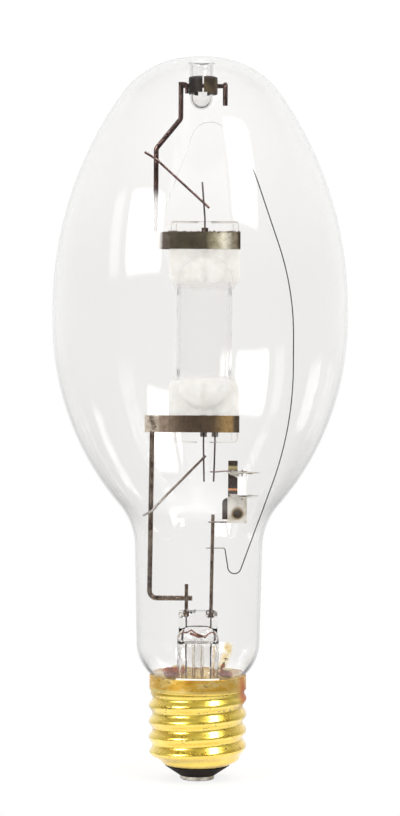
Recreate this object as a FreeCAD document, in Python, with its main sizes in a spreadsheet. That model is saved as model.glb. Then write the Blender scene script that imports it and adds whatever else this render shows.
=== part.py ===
import FreeCAD, Part
import math
import os
import re
import Sketcher

# A clear metal halide lamp with a mogul screw base, standing on its contact.
# The origin is the middle of the contact's bottom face and +Z runs up the axis to the crown.
# The leads and the arc tube's flat presses face -Y.

sizes = {
    # Contact, insulator and screw shell
    "contactRadius": 6.9,
    "contactThickness": 1.6,
    "contactEdgeRadius": 0.6,
    "insulatorHeight": 4.4,
    "insulatorLock": 3.0,
    "insulatorBore": 1.7,
    "lipRadius": 13.1,
    "shoulderHeight": 6.0,
    "threadLength": 29.2,
    "threadPitch": 6.35,
    "threadCrestRadius": 19.65,
    "threadDepth": 1.5,
    "threadPhase": 13.7,
    "threadRunIn": 2.0,
    "threadRunOut": 3.2,
    "rimRadius": 19.45,
    "rimStep": 0.5,
    "seamStep": 0.1,
    "rimHeight": 6.7,
    "shellWall": 0.35,
    "fitClearance": 0.1,
    # Outer envelope
    "glassWall": 1.1,
    "bellyRadius": 59.4,
    "bellyBand": 5.6,
    "crownHeight": 100.3,
    "lowerBellyArc": 113.3,
    "neckFillet": 27.0,
    "neckTopRadius": 25.6,
    "neckLength": 37.47,
    "neckTaper": 0.85,
    "chinGap": 0.36,
    "chinArc": 18.4,
    "spigotFillet": 2.5,
    "spigotRadius": 16.8,
    "sealDepth": 14.9,
    "crownArc": 34.8,
    "crownOffset": 3.9,
    "dimpleRadius": 4.75,
    "dimpleDepth": 20.6,
    "dimpleMouthArc": 2.0,
    "cementWall": 1.0,
    # Glass stem
    "stemRadius": 8.4,
    "stemWall": 1.2,
    "flareHeight": 8.5,
    "flareRim": 1.5,
    "flareBend": 5.0,
    "sealClearance": 0.05,
    "stemShoulderLevel": 61.5,
    "stemShoulderArc": 5.0,
    "stemArchLevel": 56.0,
    "stemArchRadius": 2.2,
    "exhaustRadius": 2.4,
    "exhaustBore": 1.3,
    "exhaustTipLevel": 25.2,
    "pressTopLevel": 67.7,
    "pressWidth": 15.6,
    "pressThickness": 4.8,
    "pressCorner": 2.0,
    "pressRootDepth": 5.0,
    # Rods and lead-in wires through the stem
    "rodRadius": 0.72,
    "rodFootLevel": 65.5,
    "wireClearance": 0.08,
    "leftRodX": -4.8,
    "leftRodTop": 78.4,
    "rightRodX": 5.15,
    "rightRodTopX": 5.7,
    "rightRodTop": 107.1,
    "leadInRadius": 0.3,
    "leadInBend": 1.6,
    "leftLeadTurn": 20.9,
    "rightLeadTurnHigh": 19.5,
    "rightLeadTurnLow": 13.0,
    # Frame wires
    "frameWireRadius": 1.0,
    "weldGap": 0.03,
    "lowerWireTopX": -19.0,
    "lowerWireCornerX": -19.85,
    "lowerWireCornerLevel": 72.6,
    "lowerWireEndX": -2.4,
    "lowerWireBend": 2.9,
    "upperWireX": -18.15,
    "upperWireShoulderDrop": 36.2,
    "upperWireNeckX": -8.3,
    "upperWireNeckDrop": 24.2,
    "upperWireBend": 2.6,
    # Spring clip round the dimple
    "clipCenterX": 0.65,
    "clipDrop": 11.0,
    "clipHeight": 6.8,
    "clipRadius": 5.85,
    "clipThickness": 0.3,
    "clipSeamAngle": 3.0,
    "clipSweepAngle": 152.0,
    "clipWireDrop": 10.0,
    "clipWireReach": 8.95,
    "clipTailLength": 9.0,
    "clipHookRadius": 0.72,
    "clipHookLength": 4.2,
    # Quartz arc tube
    "arcX": 1.7,
    "arcLevel": 180.0,
    "arcHalfLength": 44.6,
    "chamberRadius": 11.15,
    "chamberWall": 1.1,
    "chamberInset": 24.3,
    "sealWidth": 28.0,
    "sealThickness": 5.0,
    "sealShoulderInset": 22.1,
    "sealTaperInset": 29.6,
    "sealCorner": 1.2,
    "coatThickness": 0.2,
    "coatGap": 0.03,
    "coatInset": 28.0,
    # Electrodes, foils and leads of the arc tube
    "foilWidth": 2.7,
    "foilThickness": 0.1,
    "foilLength": 10.0,
    "foilInset": 2.4,
    "foilLap": 1.8,
    "slotClearance": 0.05,
    "electrodeRadius": 0.55,
    "electrodeInset": 24.3,
    "coilWire": 0.38,
    "coilPitch": 0.82,
    "coilTurns": 6.0,
    "coilSetback": 1.4,
    "probeRadius": 0.3,
    "probeOffset": 4.6,
    "probeInset": 17.6,
    "sealLeadRadius": 0.35,
    "upperLeadLength": 16.0,
    "upperLeadTopX": 0.55,
    "lowerLeadLength": 15.6,
    "mainLeadFootX": 2.0,
    "probeLeadFootX": 5.9,
    "leadBend": 8.0,
    "beadRadius": 0.9,
    "beadX": 2.4,
    # Straps that hold the arc tube
    "strapHeight": 6.8,
    "strapThickness": 0.3,
    "strapInset": 7.65,
    "strapGap": 0.1,
    "strapCorner": 0.3,
    "strapLugEnd": 23.8,
    "strapLugStart": 17.2,
    # Jumpers
    "jumperRadius": 0.5,
    "jumperBend": 3.0,
    "lowerJumperTailX": -22.6,
    "lowerJumperTailDrop": 29.2,
    "lowerJumperCrossDrop": 27.1,
    "lowerJumperTipX": 2.6,
    "lowerJumperTipDrop": 5.1,
    "upperJumperTailX": -22.8,
    "upperJumperTailRise": 27.8,
    "upperJumperCrossRise": 25.0,
    "upperJumperTipX": 3.5,
    "upperJumperTipRise": 5.4,
    # Thermal switch and starting resistor
    "linkRadius": 0.3,
    "plateLinkHeight": 0.4,
    "plateLinkStartX": 3.9,
    "plateLinkEndX": 13.2,
    "probeLinkRise": 0.2,
    "probeLinkStartX": 4.4,
    "probeLinkTurnX": 7.0,
    "probeLinkEndX": 13.6,
    "linkBend": 1.0,
    "plateThickness": 0.3,
    "plateLeft": 11.5,
    "plateRight": 19.3,
    "plateBottom": 103.5,
    "plateHeight": 10.5,
    "plateFlange": 2.2,
    "flangeLeft": 16.0,
    "flangeTip": 21.4,
    "stripThickness": 0.25,
    "stripLeft": 11.7,
    "stripRight": 15.5,
    "stripOverlap": 4.8,
    "stripFootLeft": 9.4,
    "stripFootRight": 18.2,
    "stripFootInset": 1.6,
    "stripFootHeight": 8.3,
    "stripShoulderArc": 2.0,
    "hingeGap": 0.35,
    "switchGap": 0.3,
    "rivetX": 15.5,
    "rivetHeight": 4.0,
    "rivetHeadRadius": 1.8,
    "rivetHeadHeight": 0.6,
    "rivetShankRadius": 0.9,
    "resistorX": 17.3,
    "resistorRadius": 1.9,
    "resistorStand": 0.7,
    "resistorLength": 7.5,
    "resistorLeadRadius": 0.25,
    "resistorLeadReach": 1.0,
    "terminalStand": 1.4,
    "terminalLeft": 11.0,
    "terminalRight": 22.3,
    "terminalShoulderX": 19.0,
    "terminalDepth": 3.9,
    "gussetWidth": 5.0,
    "gussetDrop": 2.4,
    # Field wire round the arc tube
    "fieldRadius": 0.225,
    "fieldStartX": 3.0,
    "fieldStartLevel": 93.0,
    "fieldLegX": 10.6,
    "fieldLoopX": 13.5,
    "fieldLoopLevel": 74.6,
    "fieldLoopBend": 2.7,
    "fieldBowInset": 21.6,
    "fieldBowLow": 141.4,
    "fieldBowLowBend": 140.0,
    "fieldBowHigh": 197.6,
    "fieldBowHighBend": 115.0,
    "fieldShoulderInset": 16.8,
    "fieldShoulderDrop": 43.7,
    "fieldShoulderBend": 40.0,
    "fieldPeakX": 1.3,
    "fieldPeakDrop": 16.6,
    "fieldPeakBend": 7.9,
    "fieldEndLevel": 222.0,
}

# Levels along the axis
lipLevel = "(contactThickness + insulatorHeight)"
threadEnd = f"({lipLevel} + threadLength)"
rimTop = f"({threadEnd} + rimHeight)"
sealLevel = f"({rimTop} - sealDepth)"
leadTop = "(rodFootLevel - leadInRadius)"
neckBottomRadius = "(neckTopRadius - neckTaper)"
chinReach = f"(rimRadius - shellWall - chinGap - {neckBottomRadius} + chinArc)"
chinLevel = f"({rimTop} + sqrt(chinArc ^ 2 - {chinReach} ^ 2))"
neckTop = f"({chinLevel} + neckLength)"
filletReach = "(neckTopRadius + neckFillet - bellyRadius + lowerBellyArc)"
bellyLevel = f"({neckTop} + sqrt((lowerBellyArc + neckFillet) ^ 2 - {filletReach} ^ 2))"
bandTop = f"({bellyLevel} + bellyBand)"
crownTop = f"({bandTop} + crownHeight)"
clipWireLevel = f"({crownTop} - clipWireDrop)"
arcTop = "(arcLevel + arcHalfLength)"
arcBottom = "(arcLevel - arcHalfLength)"
plateTop = "(plateBottom + plateHeight)"
stripFootBottom = "(plateBottom + stripFootInset)"
stripShoulder = f"({stripFootBottom} + stripFootHeight)"
resistorBottom = f"({plateTop} + resistorStand)"
resistorTop = f"({resistorBottom} + resistorLength)"
terminalLevel = f"({resistorTop} + terminalStand)"
stripTop = f"({terminalLevel} + stripOverlap)"
probeLinkLevel = f"({terminalLevel} + probeLinkRise)"
rivetLevel = "(plateBottom + rivetHeight)"

# Planes across the lamp, front to back
frameY = "(rodRadius + frameWireRadius + weldGap)"
jumperY = f"({frameY} - frameWireRadius - jumperRadius - weldGap)"
linkY = "(0 - rodRadius - linkRadius - weldGap)"
plateY = f"({linkY} - linkRadius - plateThickness / 2 - weldGap)"
stripY = f"({plateY} + plateThickness / 2 + stripThickness / 2 + weldGap)"
gussetY = f"({stripY} - stripThickness / 2 - switchGap - plateThickness / 2)"
resistorY = f"({plateY} - plateFlange)"

# Distances from the middle of the arc tube, measured back from its ends
chamberEnd = "(arcHalfLength - chamberInset)"
sealShoulder = "(arcHalfLength - sealShoulderInset)"
sealTaperEnd = "(arcHalfLength - sealTaperInset)"
foilOuter = "(arcHalfLength - foilInset)"
foilInner = f"({foilOuter} - foilLength)"
electrodeTip = "(arcHalfLength - electrodeInset)"
probeTip = "(arcHalfLength - probeInset)"
strapOffset = "(arcHalfLength - strapInset)"
coatInnerEnd = "(arcHalfLength - coatInset)"
coatOuterEnd = f"({strapOffset} - strapHeight / 2 - strapGap)"

# Planes within the arc tube, behind its axis
foilY = "(electrodeRadius + foilThickness / 2)"
sealLeadY = "(electrodeRadius - sealLeadRadius)"
probeY = "(electrodeRadius - probeRadius)"

document = FreeCAD.newDocument("MetalHalideLamp")
sheet = document.addObject("Spreadsheet::Sheet", "Dimensions")
nodes = []


def fill_sheet():
    for row, (name, size) in enumerate(sizes.items(), start=1):
        sheet.set(f"A{row}", name)
        sheet.set(f"B{row}", str(size))
        sheet.setAlias(f"B{row}", name)
    document.recompute()


def linked(expression):
    # The expression with the sheet's name before each size.
    def prefixed(word):
        return f"Dimensions.{word.group()}" if word.group() in sizes else word.group()

    return re.sub(r"[A-Za-z]\w*", prefixed, str(expression))


def value(expression):
    return float(sheet.evalExpression(linked(expression)))


def new_body(label, x="0", y="0", z="0"):
    body = document.addObject("PartDesign::Body", label)
    body.setExpression("Placement.Base.x", linked(x))
    body.setExpression("Placement.Base.y", linked(y))
    body.setExpression("Placement.Base.z", linked(z))
    nodes.append(body)
    return body


def origin_feature(body, role):
    return next(feature for feature in body.Origin.OriginFeatures if feature.Role == role)


def new_sketch(body, plane, offset="0"):
    sketch = body.newObject("Sketcher::SketchObject", body.Label + "_sketch")
    sketch.AttachmentSupport = [(origin_feature(body, plane), "")]
    sketch.MapMode = "FlatFace"
    sketch.setExpression("AttachmentOffset.Base.z", linked(offset))
    return sketch


def constrain(sketch, kind, geometry, expression):
    # A dimension of one curve or from the sketch's origin to a point of a curve.
    index = sketch.addConstraint(Sketcher.Constraint(kind, *geometry, value(expression)))
    sketch.setExpression(f"Constraints[{index}]", linked(expression))


def pin(sketch, geometry, point, across, up):
    constrain(sketch, "DistanceX", (-1, 1, geometry, point), across)
    constrain(sketch, "DistanceY", (-1, 1, geometry, point), up)


def add_outline(sketch, corners, rounds=(), closed=True):
    # Straight runs through the corners; rounds pairs a corner's number with its radius.
    points = [FreeCAD.Vector(value(across), value(up), 0) for across, up in corners]
    runs = len(points) if closed else len(points) - 1
    first = sketch.GeometryCount
    for run in range(runs):
        line = Part.LineSegment(points[run], points[(run + 1) % len(points)])
        sketch.addGeometry(line, False)
    for run in range(runs if closed else runs - 1):
        following = first + (run + 1) % runs
        sketch.addConstraint(Sketcher.Constraint("Coincident", first + run, 2, following, 1))
    for number, (across, up) in enumerate(corners):
        if number < runs:
            pin(sketch, first + number, 1, across, up)
        else:
            pin(sketch, first + runs - 1, 2, across, up)
    for number, radius in rounds:
        before = first + (number - 1) % len(points)
        after = first + number
        middles = []
        for line in (before, after):
            segment = sketch.Geometry[line]
            middles.append((segment.StartPoint + segment.EndPoint) * 0.5)
        sketch.fillet(before, after, middles[0], middles[1], value(radius), True, True)
        constrain(sketch, "Radius", (sketch.GeometryCount - 2,), radius)
        sketch.setConstruction(sketch.GeometryCount - 1, True)


def add_circle(sketch, radius, x="0", y="0"):
    center = FreeCAD.Vector(value(x), value(y), 0)
    index = sketch.addGeometry(Part.Circle(center, FreeCAD.Vector(0, 0, 1), value(radius)), False)
    pin(sketch, index, 3, x, y)
    constrain(sketch, "Radius", (index,), radius)


def add_rectangle(sketch, width, height, x="0", y="0", corner=None):
    corners = [
        (f"({x}) - ({width}) / 2", f"({y}) - ({height}) / 2"),
        (f"({x}) + ({width}) / 2", f"({y}) - ({height}) / 2"),
        (f"({x}) + ({width}) / 2", f"({y}) + ({height}) / 2"),
        (f"({x}) - ({width}) / 2", f"({y}) + ({height}) / 2"),
    ]
    rounds = [(number, corner) for number in range(4)] if corner else []
    add_outline(sketch, corners, rounds)


def revolve(body, sketch, kind="Revolution", angle="360"):
    feature = body.newObject(f"PartDesign::{kind}", f"{body.Label}_{kind}")
    feature.Profile = sketch
    feature.ReferenceAxis = (origin_feature(body, "Z_Axis"), [""])
    feature.setExpression("Angle", linked(angle))
    sketch.Visibility = False
    return feature


def extrude(body, sketch, length, kind="Pad", symmetric=False):
    feature = body.newObject(f"PartDesign::{kind}", f"{body.Label}_{kind}")
    feature.Profile = sketch
    if symmetric:
        feature.SideType = "Symmetric"
    feature.setExpression("Length", linked(length))
    return feature


def drill(body, radius, x, y, low, high):
    # A round hole along the axis between two levels of the body.
    sketch = new_sketch(body, "XY_Plane", f"(({low}) + ({high})) / 2")
    add_circle(sketch, radius, x, y)
    extrude(body, sketch, f"({high}) - ({low})", "Pocket", symmetric=True)


def rod(label, radius, x, y, low, high):
    cylinder = document.addObject("Part::Cylinder", label)
    cylinder.setExpression("Radius", linked(radius))
    cylinder.setExpression("Height", linked(f"({high}) - ({low})"))
    cylinder.setExpression("Placement.Base.x", linked(x))
    cylinder.setExpression("Placement.Base.y", linked(y))
    cylinder.setExpression("Placement.Base.z", linked(low))
    nodes.append(cylinder)
    return cylinder


def bent_wire(label, radius, y, corners, rounds=()):
    # A round wire whose middle line lies in one plane across the lamp.
    body = new_body(label, y=y)
    route = new_sketch(body, "XZ_Plane")
    add_outline(route, corners, rounds, closed=False)
    document.recompute()
    section = body.newObject("Sketcher::SketchObject", f"{label}_section")
    section.AttachmentSupport = [(route, "Edge1")]
    section.MapMode = "NormalToEdge"
    section.MapPathParameter = 0
    add_circle(section, radius)
    pipe = body.newObject("PartDesign::AdditivePipe", f"{label}_pipe")
    pipe.Profile = section
    pipe.Spine = (route, [f"Edge{number + 1}" for number in range(len(route.Shape.Edges))])
    return body


def formed_wire(label, radius, corners, bends):
    # A round wire bent out of one plane: straight runs joined by tangent arcs.
    points = [FreeCAD.Vector(*(value(place) for place in corner)) for corner in corners]
    edges = []
    start = points[0]
    for before, corner, after, bend in zip(points, points[1:], points[2:], bends):
        back = (before - corner).normalize()
        onward = (after - corner).normalize()
        half_angle = back.getAngle(onward) / 2
        reach = value(bend) / math.tan(half_angle)
        middle = (back + onward).normalize()
        depth = value(bend) / math.sin(half_angle) - value(bend)
        entry = corner + back * reach
        leaving = corner + onward * reach
        edges.append(Part.makeLine(start, entry))
        edges.append(Part.Arc(entry, corner + middle * depth, leaving).toShape())
        start = leaving
    edges.append(Part.makeLine(start, points[-1]))
    direction = points[1] - points[0]
    section = Part.Wire([Part.makeCircle(value(radius), points[0], direction)])
    wire = document.addObject("Part::Feature", label)
    wire.Shape = Part.Wire(edges).makePipeShell([section], True, False)
    nodes.append(wire)
    return wire


def heading(start, end):
    return math.atan2(end.y - start.y, end.x - start.x)


def envelope_section(sketch, inset):
    # Half of the envelope's outline, moved into the glass by the inset.
    # Every round stretch is an arc tangent to its neighbours, from the seal up to the dimple.
    vector = FreeCAD.Vector
    skin = value(inset)
    base = value(sealLevel)
    belly = value("bellyRadius")
    belly_top = value(bandTop)
    spigot = value("spigotRadius") - skin
    low_neck = vector(value(neckBottomRadius) - skin, value(chinLevel), 0)
    high_neck_x = value("neckTopRadius") - skin
    bore = value("dimpleRadius - glassWall")

    chin_radius = value("chinArc") - skin
    chin = vector(low_neck.x - chin_radius, low_neck.y, 0)
    spigot_fillet = value("spigotFillet") + skin
    spigot_x = spigot + spigot_fillet
    reach = chin_radius + spigot_fillet
    spigot_turn = vector(spigot_x, chin.y - math.sqrt(reach ** 2 - (spigot_x - chin.x) ** 2), 0)

    low_radius = value("lowerBellyArc") - skin
    low = vector(belly - value("lowerBellyArc"), value(bellyLevel), 0)
    neck_fillet = value("neckFillet") + skin
    neck_turn = vector(high_neck_x + neck_fillet, value(neckTop), 0)

    crown_full = value("crownArc")
    crown = vector(value("crownOffset"), value(crownTop) - crown_full, 0)
    span = belly - crown.x
    rise = crown.y - belly_top
    high_full = (span ** 2 + rise ** 2 - crown_full ** 2) / (2 * (span - crown_full))
    high = vector(belly - high_full, belly_top, 0)
    mouth_full = value("dimpleMouthArc")
    mouth_x = bore + mouth_full
    drop = math.sqrt((crown_full - mouth_full) ** 2 - (mouth_x - crown.x) ** 2)
    mouth = vector(mouth_x, crown.y + drop, 0)
    dimple_radius = bore + skin
    dimple_end = f"{crownTop} - dimpleDepth + dimpleRadius"
    dimple = vector(0, value(dimple_end), 0)

    to_crown = heading(high, crown)
    to_mouth = heading(crown, mouth)
    seal_start = vector(0, base, 0)
    seal_end = vector(spigot, base, 0)
    spigot_end = vector(spigot, spigot_turn.y, 0)
    neck_end = vector(high_neck_x, neck_turn.y, 0)
    band_start = vector(belly - skin, low.y, 0)
    band_end = vector(belly - skin, belly_top, 0)
    bore_start = vector(dimple_radius, mouth.y, 0)
    bore_end = vector(dimple_radius, dimple.y, 0)
    dimple_tip = vector(0, dimple.y - dimple_radius, 0)

    def line(start, end):
        return sketch.addGeometry(Part.LineSegment(start, end), False)

    def arc(center, radius, start, end):
        circle = Part.Circle(center, vector(0, 0, 1), radius)
        return sketch.addGeometry(Part.ArcOfCircle(circle, start, end), False)

    seal = line(seal_start, seal_end)
    spigot_line = line(seal_end, spigot_end)
    spigot_arc = arc(spigot_turn, spigot_fillet, heading(spigot_turn, chin), math.pi)
    chin_arc = arc(chin, chin_radius, heading(chin, spigot_turn), 0)
    neck_line = line(low_neck, neck_end)
    neck_arc = arc(neck_turn, neck_fillet, heading(neck_turn, low), math.pi)
    low_arc = arc(low, low_radius, heading(low, neck_turn), 0)
    band_line = line(band_start, band_end)
    high_arc = arc(high, high_full - skin, 0, to_crown)
    crown_arc = arc(crown, crown_full - skin, to_crown, to_mouth)
    mouth_arc = arc(mouth, mouth_full - skin, to_mouth, math.pi)
    bore_line = line(bore_start, bore_end)
    dimple_arc = arc(dimple, dimple_radius, -math.pi / 2, 0)
    axis_line = line(dimple_tip, seal_start)

    joints = [
        ("Coincident", seal, 2, spigot_line, 1),
        ("Tangent", spigot_line, 2, spigot_arc, 2),
        ("Tangent", spigot_arc, 1, chin_arc, 1),
        ("Tangent", chin_arc, 2, neck_line, 1),
        ("Tangent", neck_line, 2, neck_arc, 2),
        ("Tangent", neck_arc, 1, low_arc, 1),
        ("Tangent", low_arc, 2, band_line, 1),
        ("Tangent", band_line, 2, high_arc, 1),
        ("Tangent", high_arc, 2, crown_arc, 1),
        ("Tangent", crown_arc, 2, mouth_arc, 1),
        ("Tangent", mouth_arc, 2, bore_line, 1),
        ("Tangent", bore_line, 2, dimple_arc, 2),
        ("Coincident", dimple_arc, 1, axis_line, 1),
        ("Coincident", axis_line, 2, seal, 1),
    ]
    for joint in joints:
        sketch.addConstraint(Sketcher.Constraint(*joint))
    for upright in (spigot_line, band_line, bore_line, axis_line):
        sketch.addConstraint(Sketcher.Constraint("Vertical", upright))
    sketch.addConstraint(Sketcher.Constraint("PointOnObject", seal, 1, -2))
    sketch.addConstraint(Sketcher.Constraint("PointOnObject", dimple_arc, 3, -2))
    sketch.addConstraint(Sketcher.Constraint("Horizontal", seal))
    constrain(sketch, "DistanceY", (-1, 1, seal, 2), sealLevel)
    constrain(sketch, "DistanceX", (-1, 1, seal, 2), f"spigotRadius - ({inset})")
    constrain(sketch, "Radius", (spigot_arc,), f"spigotFillet + ({inset})")
    constrain(sketch, "Radius", (chin_arc,), f"chinArc - ({inset})")
    pin(sketch, neck_line, 1, f"{neckBottomRadius} - ({inset})", chinLevel)
    constrain(sketch, "DistanceX", (-1, 1, neck_line, 2), f"neckTopRadius - ({inset})")
    constrain(sketch, "Radius", (neck_arc,), f"neckFillet + ({inset})")
    constrain(sketch, "Radius", (low_arc,), f"lowerBellyArc - ({inset})")
    pin(sketch, low_arc, 3, "bellyRadius - lowerBellyArc", bellyLevel)
    constrain(sketch, "DistanceY", (-1, 1, band_line, 2), bandTop)
    constrain(sketch, "Radius", (crown_arc,), f"crownArc - ({inset})")
    pin(sketch, crown_arc, 3, "crownOffset", f"{crownTop} - crownArc")
    constrain(sketch, "Radius", (mouth_arc,), f"dimpleMouthArc - ({inset})")
    constrain(sketch, "Radius", (dimple_arc,), f"dimpleRadius - glassWall + ({inset})")
    constrain(sketch, "DistanceY", (-1, 1, dimple_arc, 3), dimple_end)


def outer_envelope():
    body = new_body("outer_envelope")
    outside = new_sketch(body, "XZ_Plane")
    envelope_section(outside, "0")
    revolve(body, outside)
    document.recompute()
    inside = new_sketch(body, "XZ_Plane")
    envelope_section(inside, "glassWall")
    revolve(body, inside, "Groove")


def thread_form(inset):
    # The threaded zone with its round shoulder as a closed solid: a smooth surface over a net of
    # control points, in two half turns so that no face closes on itself, and a flat end above
    # and below.
    around = 48
    along = 80
    degree = 3
    # A closed cubic net draws a circle in by this ratio.
    spread = 3 / (2 + math.cos(2 * math.pi / around))
    start = value(lipLevel)
    length = value("threadLength")
    shoulder = value("shoulderHeight")
    lip = value("lipRadius")
    pitch = value("threadPitch")
    phase = value("threadPhase")
    run_in = value("threadRunIn")
    run_out = value("threadRunOut")
    wave = value("threadDepth / 2")
    middle = value("threadCrestRadius") - wave
    net = []
    for step in range(around):
        turn = step / around
        angle = 2 * math.pi * turn
        row = []
        for place in range(along + 1):
            level = start + length * place / along
            climb = min((level - start) / shoulder, 1)
            mean = lip + (middle - lip) * math.sin(math.pi / 2 * climb)
            share = min((level - start) / run_in, (start + length - level) / run_out, 1)
            fade = share * share * (3 - 2 * share)
            crest = math.cos(2 * math.pi * ((level - phase) / pitch - turn))
            radius = (mean + wave * fade * crest - inset) * spread
            row.append(FreeCAD.Vector(radius * math.cos(angle), radius * math.sin(angle), level))
        net.append(row)
    knots = list(range(around + 1))
    level_knots = list(range(along - degree + 2))
    level_weights = [degree + 1] + [1] * (along - degree) + [degree + 1]
    faces = []
    for first, last in ((0, around // 2), (around // 2, around)):
        surface = Part.BSplineSurface()
        surface.buildFromPolesMultsKnots(
            net, [1] * len(knots), level_weights, knots, level_knots, True, False, degree, degree)
        surface.segment(first, last, level_knots[0], level_knots[-1])
        faces.append(surface.toShape())
    for level in (start, start + length):
        rim = [edge for face in faces for edge in face.Edges if abs(edge.CenterOfMass.z - level) < 0.01]
        faces.append(Part.Face(Part.Wire(rim)))
    shell = Part.makeShell(faces)
    shell.sewShape()
    return Part.makeSolid(shell)


def shell_form(inset):
    # The whole screw shell as a solid, drawn in by the inset: threaded zone, step and rim.
    end = value(threadEnd)
    rim = value("rimRadius") - inset
    wide = value("threadCrestRadius - threadDepth / 2 + seamStep") - inset
    narrow = value("threadCrestRadius - threadDepth / 2 - seamStep") - inset
    step_low = end + inset
    step_high = step_low + value("rimStep")
    throat = Part.makeCylinder(narrow, step_high - end, FreeCAD.Vector(0, 0, end))
    step = Part.makeCone(wide, rim, step_high - step_low, FreeCAD.Vector(0, 0, step_low))
    band = Part.makeCylinder(rim, value(rimTop) - step_high, FreeCAD.Vector(0, 0, step_high))
    form = thread_form(inset)
    for piece in (throat, step, band):
        form = form.fuse(piece)
    return form


def base_shell():
    feature = document.addObject("Part::Feature", "base_shell")
    feature.Shape = shell_form(0).cut(shell_form(value("shellWall")))
    nodes.append(feature)


def base_insulator():
    # Black glass between the shell's lip and the contact, keyed into the shell's cone.
    inside = "(lipRadius - shellWall - fitClearance)"
    spread = "(threadCrestRadius - threadDepth / 2 - lipRadius) / shoulderHeight * insulatorLock"
    body = new_body("base_insulator")
    sketch = new_sketch(body, "XZ_Plane")
    corners = [
        ("insulatorBore", "contactThickness"),
        ("contactRadius + fitClearance", "contactThickness"),
        ("lipRadius - fitClearance", f"{lipLevel} - fitClearance * 4"),
        ("lipRadius - fitClearance", f"{lipLevel} - fitClearance"),
        (inside, f"{lipLevel} - fitClearance"),
        (inside, lipLevel),
        (f"{inside} + {spread}", f"{lipLevel} + insulatorLock"),
        ("insulatorBore", f"{lipLevel} + insulatorLock"),
    ]
    add_outline(sketch, corners)
    revolve(body, sketch)


def center_contact():
    # The contact disc, with a countersink for its soldered wire.
    body = new_body("center_contact")
    sketch = new_sketch(body, "XZ_Plane")
    hole = "(leadInRadius + wireClearance)"
    corners = [
        (f"{hole} + contactThickness / 2", "0"),
        ("contactRadius", "0"),
        ("contactRadius", "contactThickness"),
        (hole, "contactThickness"),
        (hole, "contactThickness / 2"),
    ]
    add_outline(sketch, corners, [(1, "contactEdgeRadius")])
    revolve(body, sketch)


def basing_cement():
    # The cement ring fills the gap between the neck's spigot and the shell.
    inside = "(spigotRadius + fitClearance)"
    valley = "(threadCrestRadius - threadDepth - shellWall - fitClearance)"
    rim = "(rimRadius - shellWall - fitClearance)"
    body = new_body("basing_cement")
    sketch = new_sketch(body, "XZ_Plane")
    corners = [
        (inside, f"{sealLevel} + cementWall"),
        (valley, f"{sealLevel} + cementWall"),
        (valley, threadEnd),
        (rim, f"{threadEnd} + rimStep * 2"),
        (rim, f"{rimTop} - rimStep"),
        (f"{rim} - cementWall / 2", f"{rimTop} - rimStep"),
        (inside, f"{rimTop} - rimStep - rimHeight * 0.6"),
    ]
    add_outline(sketch, corners)
    revolve(body, sketch)


def glass_stem():
    # Flare, tube and exhaust tube are turned; the press on top is pinched flat.
    flare = "(spigotRadius - glassWall - sealClearance)"
    inner = "(stemRadius - stemWall)"
    body = new_body("glass_stem")
    sketch = new_sketch(body, "XZ_Plane")
    corners = [
        ("0", "exhaustTipLevel"),
        ("0", "exhaustTipLevel + exhaustBore"),
        ("exhaustBore", "exhaustTipLevel + exhaustBore * 2"),
        ("exhaustBore", "stemArchLevel + exhaustBore"),
        ("0", "stemArchLevel + exhaustBore * 2"),
        ("0", "stemShoulderLevel"),
        ("stemRadius", "stemShoulderLevel"),
        ("stemRadius", f"{sealLevel} + flareHeight"),
        (flare, f"{sealLevel} + flareRim"),
        (flare, sealLevel),
        (f"{flare} - flareRim", sealLevel),
        (inner, f"{sealLevel} + flareHeight - flareRim"),
        (inner, "stemArchLevel"),
        ("exhaustRadius", "stemArchLevel"),
        ("exhaustRadius", "exhaustTipLevel + exhaustRadius"),
    ]
    rounds = [
        (6, "stemShoulderArc"),
        (7, "flareBend"),
        (11, "flareBend + stemWall"),
        (12, "stemArchRadius"),
        (13, "stemArchRadius"),
    ]
    add_outline(sketch, corners, rounds)
    revolve(body, sketch)
    document.recompute()
    press = new_sketch(body, "XY_Plane", "stemShoulderLevel - pressRootDepth")
    add_rectangle(press, "pressWidth", "pressThickness", corner="pressCorner")
    extrude(body, press, "pressTopLevel - stemShoulderLevel + pressRootDepth")
    document.recompute()
    for x in ("leftRodX", "rightRodX"):
        drill(body, "rodRadius + wireClearance", x, "0", leadTop, "pressTopLevel")
        drill(body, "leadInRadius + wireClearance", x, "0", "stemArchLevel - stemArchRadius", leadTop)


def stem_rods():
    rod("left_stem_rod", "rodRadius", "leftRodX", "0", "rodFootLevel", "leftRodTop")
    corners = [
        ("rightRodX", "rodFootLevel"),
        ("rightRodX", "pressTopLevel + rodRadius"),
        ("rightRodTopX", "rightRodTop"),
    ]
    bent_wire("right_stem_rod", "rodRadius", "0", corners, [(1, "rodRadius * 20")])


def lead_in_wires():
    # One wire is welded inside the shell, the other runs through the insulator to the contact.
    wall_x = "(0 - threadCrestRadius + threadDepth + shellWall + fitClearance)"
    left = [("leftRodX", leadTop), ("leftRodX", "leftLeadTurn"), (wall_x, "leftLeadTurn")]
    bent_wire("left_lead_in", "leadInRadius", "0", left, [(1, "leadInBend")])
    right = [
        ("rightRodX", leadTop),
        ("rightRodX", "rightLeadTurnHigh"),
        ("0", "rightLeadTurnLow"),
        ("0", "contactThickness / 4"),
    ]
    rounds = [(1, "leadInBend"), (2, "leadInBend")]
    bent_wire("right_lead_in", "leadInRadius", "0", right, rounds)


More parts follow.
